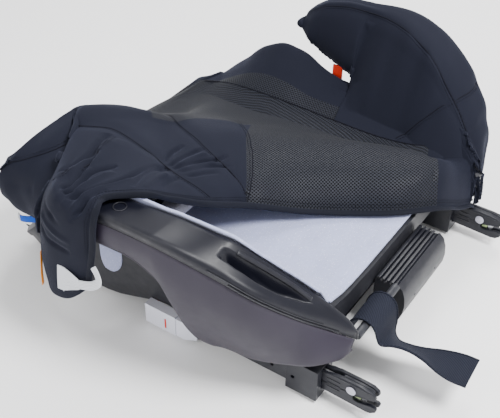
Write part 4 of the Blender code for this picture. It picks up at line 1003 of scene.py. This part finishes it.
def arm_rows():
    """Rows round the right horn, then from the valley over the arm to its outer side."""
    rows = []
    for y, low, (sx, sz), (tx, tz) in HORN:
        mid = 0.5 * (low + sz)
        pull = max(0.0, (-46.0 - y) / 18.0) * 10.0
        near = 14.0 * float(smoothstep(y, -40.0, 20.0))
        rows.append([(-212, y, low + 2), (-200, y, low - 1), (-189 - pull * 0.4, y, low + 1),
                     (-180 - pull + near, y + near * 0.5, low + 8 + near * 0.8),
                     (-181 - pull + near * 0.6, y + near * 0.3, mid + near * 0.4), (sx, y, sz),
                     (0.5 * (sx + tx), y, 0.5 * (sz + tz) + 2.5), (tx, y, tz),
                     (-224 + pull * 0.6, y, tz - 11), (-229 + pull, y, mid),
                     (-225 + pull * 0.8, y, low + 5)])
    for number, (valley, seam, contour) in enumerate(ARM_LINES):
        v, m, t = (np.array(p, float) for p in (valley, seam, contour))
        drop = t[2] - 40.0
        rows.append([v, v + 0.13 * (m - v) + (0, 0, -1), v + 0.33 * (m - v) + (0, 0, -1),
                     v + 0.56 * (m - v), v + 0.80 * (m - v) + (-1, 0, 2), m,
                     0.5 * (m + t) + (0, 0, 3), t, t + (-8, 0, -0.10 * drop),
                     t + (-12, -1, -0.40 * drop), t + (4, -3, -0.85 * drop)])
        if number == 0:  # where the slope runs into the bolster, at the end of the belt slot
            rows[-1][:5] = [(-114, 24, 91), (-124, 23, 94), (-139, 22, 105), (-157, 22, 121),
                            (-177, 23, 160)]
    return np.array(rows, float)


APRON_X = (-100, -60, -20, 20, 60, 100)
BOLSTER = [  # y, crest z, how far out the crest stands
    (-192, 34, 146), (-182, 48, 155), (-168, 60, 163), (-153, 72, 168), (-135, 90, 170),
    (-117, 107, 171), (-104, 120, 171), (-90, 130, 171), (-70, 139, 171), (-52, 139, 171),
    (-37, 136, 171), (-17, 126, 170), (3, 120, 169), (18, 119, 168), (32, 118, 166), (48, 116, 164)]


def right_arm():
    """Cover over the right arm and its horn, open where the belt passes."""
    coarse = arm_rows()
    rows, cols = 300, 220
    points = net(coarse, cols, rows)
    outward = normals_of(points)
    if outward[200, 60, 2] < 0:
        outward = -outward
    points = ripple(points, outward, 0.8, 34.0)
    gusset = [row[5] for row in coarse]
    dart = [(-122, 100, 99), (-136, 112, 110), (-154, 126, 128), (-176, 143, 140),
            (-196, 151, 150)]
    fans = [([(-163, 30, 122), (-150, 44, 116), (-138, 58, 106)], 3.0, -2.6),
            ([(-160, 26, 124), (-156, 40, 130), (-156, 54, 138)], 3.5, -2.0),
            ([(-152, 22, 112), (-136, 34, 104), (-128, 44, 98)], 3.0, -2.0)]
    points = crease_all(points, outward, [gusset, dart])
    for path, width, depth in fans:
        points = press(points, outward, path, width, depth)
    points = clear_of_shell(points)
    row_at = np.linspace(0, len(coarse) - 1, rows)[:-1, None]
    col_at = np.linspace(0, coarse.shape[1] - 1, cols)[None, :-1]
    slot_gap = (row_at > len(HORN) - 1.02) & (row_at < len(HORN)) & (col_at < 3.0)
    end = points[0, 60:].mean(axis=0) + np.array((0.0, -1.5, 0.0))
    for k, share in enumerate((0.92, 0.72, 0.48, 0.28, 0.12)):
        points[k] = points[k] * (1 - share) + end * share
    arm = grid_object("cover_right_arm", points, (-100, 80, 400), cloth,
                      SLEEVE_THICKNESS, drop=slot_gap)
    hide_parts("right_arm_cover")
    seam_and_shade_line("cover_right_gusset_seam", points, gusset)
    seam_and_shade_line("cover_right_dart_seam", points, dart)
    return arm


def right_bolster():
    """Cover over the seat's right side bolster, mesh towards the middle."""
    rows = []
    for y, crest, out in BOLSTER:
        floor = min(86.0, crest - 8.0)
        rise = crest - floor
        deck = [pan_height(x, y) + 4.6 for x in (-52, -84, -108, -120, -134, -146)]
        rows.append([(-52, y, deck[0]), (-84, y, deck[1]), (-108, y, deck[2]),
                     (-120, y, max(deck[3], floor + 0.05 * rise)),
                     (-134, y, max(deck[4], floor + 0.34 * rise)),
                     (-150, y, max(floor + 0.80 * rise, min(deck[5] - 2, crest + 4))),
                     (-out + 6, y, crest), (-out - 1, y, crest - 3), (-out - 3, y, crest - 12),
                     (-out - 1, y, crest - 26), (-out + 4, y, max(crest - 44, 12))])
    points, outward = draped(rows, 150, 190, 0.9, 30.0, 2)
    points = press(points, outward, [(-150, 24, 118), (-146, 6, 112), (-136, -10, 102)], 4.0, -2.2)
    points = clear_of_shell(points, -1.8)
    bolster = grid_object("cover_right_bolster", points, (-120, -60, 400), cloth,
                          SLEEVE_THICKNESS)
    bolster.data.materials.append(mesh_cloth)
    across = points.shape[1] - 1
    for number, face in enumerate(bolster.data.polygons):
        face.material_index = int(number % across < 0.39 * across)
    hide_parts("right_bolster_cover")
    return bolster


def front_apron():
    """Plain strip of cover under the seat's front edge."""
    rows = [[(-150, -186, 46), (-130, -188, 52), (-100, -189, 54), (-60, -190, 54),
             *((x, -191 - (x > 0), 54) for x in (-20, 20, 60, 100))],
            [(-148, -190, 32), (-130, -192, 32), *((x, -193, 32) for x in APRON_X)],
            [(-142, -188, 16), (-128, -190, 16), *((x, -191, 16) for x in APRON_X)]]
    points, _ = draped(rows, 160, 40, 0.8, 16.0, 1, -1)
    apron = grid_object("cover_front_apron", points, (0, -400, 30), cloth,
                        SLEEVE_THICKNESS)
    return apron


arm, bolster, apron = right_arm(), right_bolster(), front_apron()

# ------------------------------------------------------------------ hem, stitching, small parts
# the cover's bound edge, from the rear round the horn to the flap
HEM = [(-140, 186, 38), (-130, 190, 47), (-122, 190, 53), (-95, 187, 66), (-62, 179, 84),
       (-26, 154, 91), (2, 115, 91), (33, 78, 97), (74, 48, 117), (124, 33, 145), (157, 24, 168),
       (182, 20, 187), (195, 6, 189), (209, -5, 190), (222, -2, 187), (227, -3, 172),
       (227, -7, 146), (227, -14, 115), (228, -17, 98)]


def hem():
    """Binding round the cover's open edge, and the double row of stitches inside it."""
    facing = [(0.2, 0.3, 1.0)] * 12 + [(0.0, 0.2, 1.0), (0.4, 0.2, 0.8), (1.0, 0.2, 0.4)]
    tube("cover_hem_binding", HEM, 6.0, 3.0, facing + [(1.0, 0.2, 0.0)] * 4, binding, count=420,
         sides=12)
    inner, toward = np.moveaxis(np.array(COVER_ROWS, float)[:, :2], 1, 0)
    step = toward - inner
    step /= np.linalg.norm(step, axis=1)[:, None]
    for number, inset in enumerate((4.6, 7.2)):
        stitches(f"cover_hem_stitch_{number + 1}", inner + step * inset, (0.3, 0.3, 0.9))


def side_details():
    """Elastic loop and its tag, felt tab, and the ends of tape at the front."""
    label = [(228, -50, 80), (230, -44, 94), (231.5, -31, 100), (232, -20, 104), (233, -8, 110),
             (234, 0, 117), (233.4, 2.5, 121), (232, 0, 126), (230.5, -5, 131)]
    made = tube("elastic_loop_band", label, 8.0, 0.9, (0.9, -0.2, 0.25), elastic,
                count=120)
    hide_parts("elastic_loop")
    tag = [[(230.6, -48, 112), (231.2, -40, 113), (231.6, -32, 111), (232, -24, 108)],
           [(230.8, -50, 98), (231.2, -42, 98), (231.6, -33, 99), (232, -24, 101)],
           [(230.6, -52, 82), (231.0, -44, 84), (231.4, -34, 90), (232, -24, 96)]]
    grid_object("elastic_end_tag", net(np.array(tag, float), 24, 24), (400, -40, 98), elastic,
                0.8)
    tab = [[(158, -44, 132), (158, -56, 132), (158, -68, 132)],
           [(157, -42, 100), (157, -55, 98), (157, -68, 100)],
           [(156.5, -43, 66), (156.5, -56, 62), (156.5, -70, 62)],
           [(156, -48, 50), (156, -58, 47), (156, -69, 49)],
           [(156, -55, 43), (156, -60, 42), (156, -66, 43)]]
    grid_object("felt_side_tab", net(np.array(tab, float), 24, 50), (400, -56, 90), felt_cloth,
                2.4)
    blue = [(163, -136, 74), (164, -144, 72), (164.5, -153, 68), (164, -162, 64), (162, -170, 60)]
    tube("front_strap_end", blue, 7.0, 1.6, (1.0, -0.1, 0.2), blue_tape,
         count=60)
    tip = [(162.2, -169.5, 60.6), (161.0, -172, 59.6), (159.5, -175, 58.6)]
    tube("front_strap_tip", tip, 7.4, 2.0, (1.0, -0.1, 0.2), pale_tape, count=20)
    edge = [(221, -77, 106), (221.5, -78.5, 92), (221.5, -80.5, 78), (221, -82, 64)]
    tube("flap_inner_tape", edge, 5.0, 1.2, (0.5, -1.0, 0.1), orange_tape,
         count=50)


STRAP_X = 85.0
STRAP_PATH = [  # y, z, and how far the tail drifts sideways
    (167.5, 40.0, 0), (170.0, 56.0, 0), (174.5, 66.8, 0), (181.0, 72.8, 0), (188.0, 74.2, 0),
    (194.0, 72.0, 0), (198.5, 66.0, 0), (200.8, 58.0, 0), (203.0, 50.5, 0), (207.5, 45.0, -1),
    (215.0, 41.5, -2), (225.0, 39.5, -4), (237.0, 38.0, -6), (251.0, 37.0, -8),
    (266.0, 36.0, -10), (280.0, 35.0, -12)]


def strap():
    """Webbing over the bar, its tail rolling as it leaves the seat."""
    rows = []
    for y, z, drift in STRAP_PATH:
        twist = smoothstep(y, 199.0, 212.0) * (1 - 0.8 * smoothstep(y, 222.0, 270.0))
        wide = np.array((1.0 - 0.30 * twist, 0.36 * twist, 0.58 * twist))
        wide /= np.linalg.norm(wide)
        middle = np.array((STRAP_X + drift, y, z))
        rows.append([middle + wide * w for w in (-19.8, -10, 0, 10, 19.8)])
    made = grid_object("webbing_strap_woven", net(np.array(rows), 40, 260), (85, 188, 400),
                       webbing, 1.5)
    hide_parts("webbing_strap")
    for number, edge in ((1, 0), (2, -1)):
        tube(f"webbing_selvedge_{number}", [row[edge] for row in rows], 1.8, 1.8,
             (0.1, 0.2, 1.0), webbing, count=200, sides=8)


def connector_details():
    """Raised ribs and an edge rib on each connector's outer and inner side."""
    for label, side in (("left", 1), ("right", -1)):
        for face, out in (("outer", 5.35), ("inner", -5.35)):
            x = side * (140.0 + out)
            lean = (float(np.sign(out) * side), 0.0, 0.0)
            ribs = {f"rib_{k + 1}": ([(x, y, z) for y in (176.0, 182.0, 189.0)], 1.2, 0.9, 24)
                    for k, z in enumerate((21.0, 26.0, 31.0))}
            ribs["edge_rib"] = ([(x, 173.6, 34.8), (x, 180.0, 36.6), (x, 206.0, 37.0),
                                 (x, 217.0, 36.2)], 1.0, 0.8, 60)
            for name, (path, wide, tall, count) in ribs.items():
                tube(f"{label}_connector_{face}_{name}", path, wide, tall, lean,
                     connector_plastic, body=label + "_arm", count=count)


hem()
side_details()
strap()
connector_details()
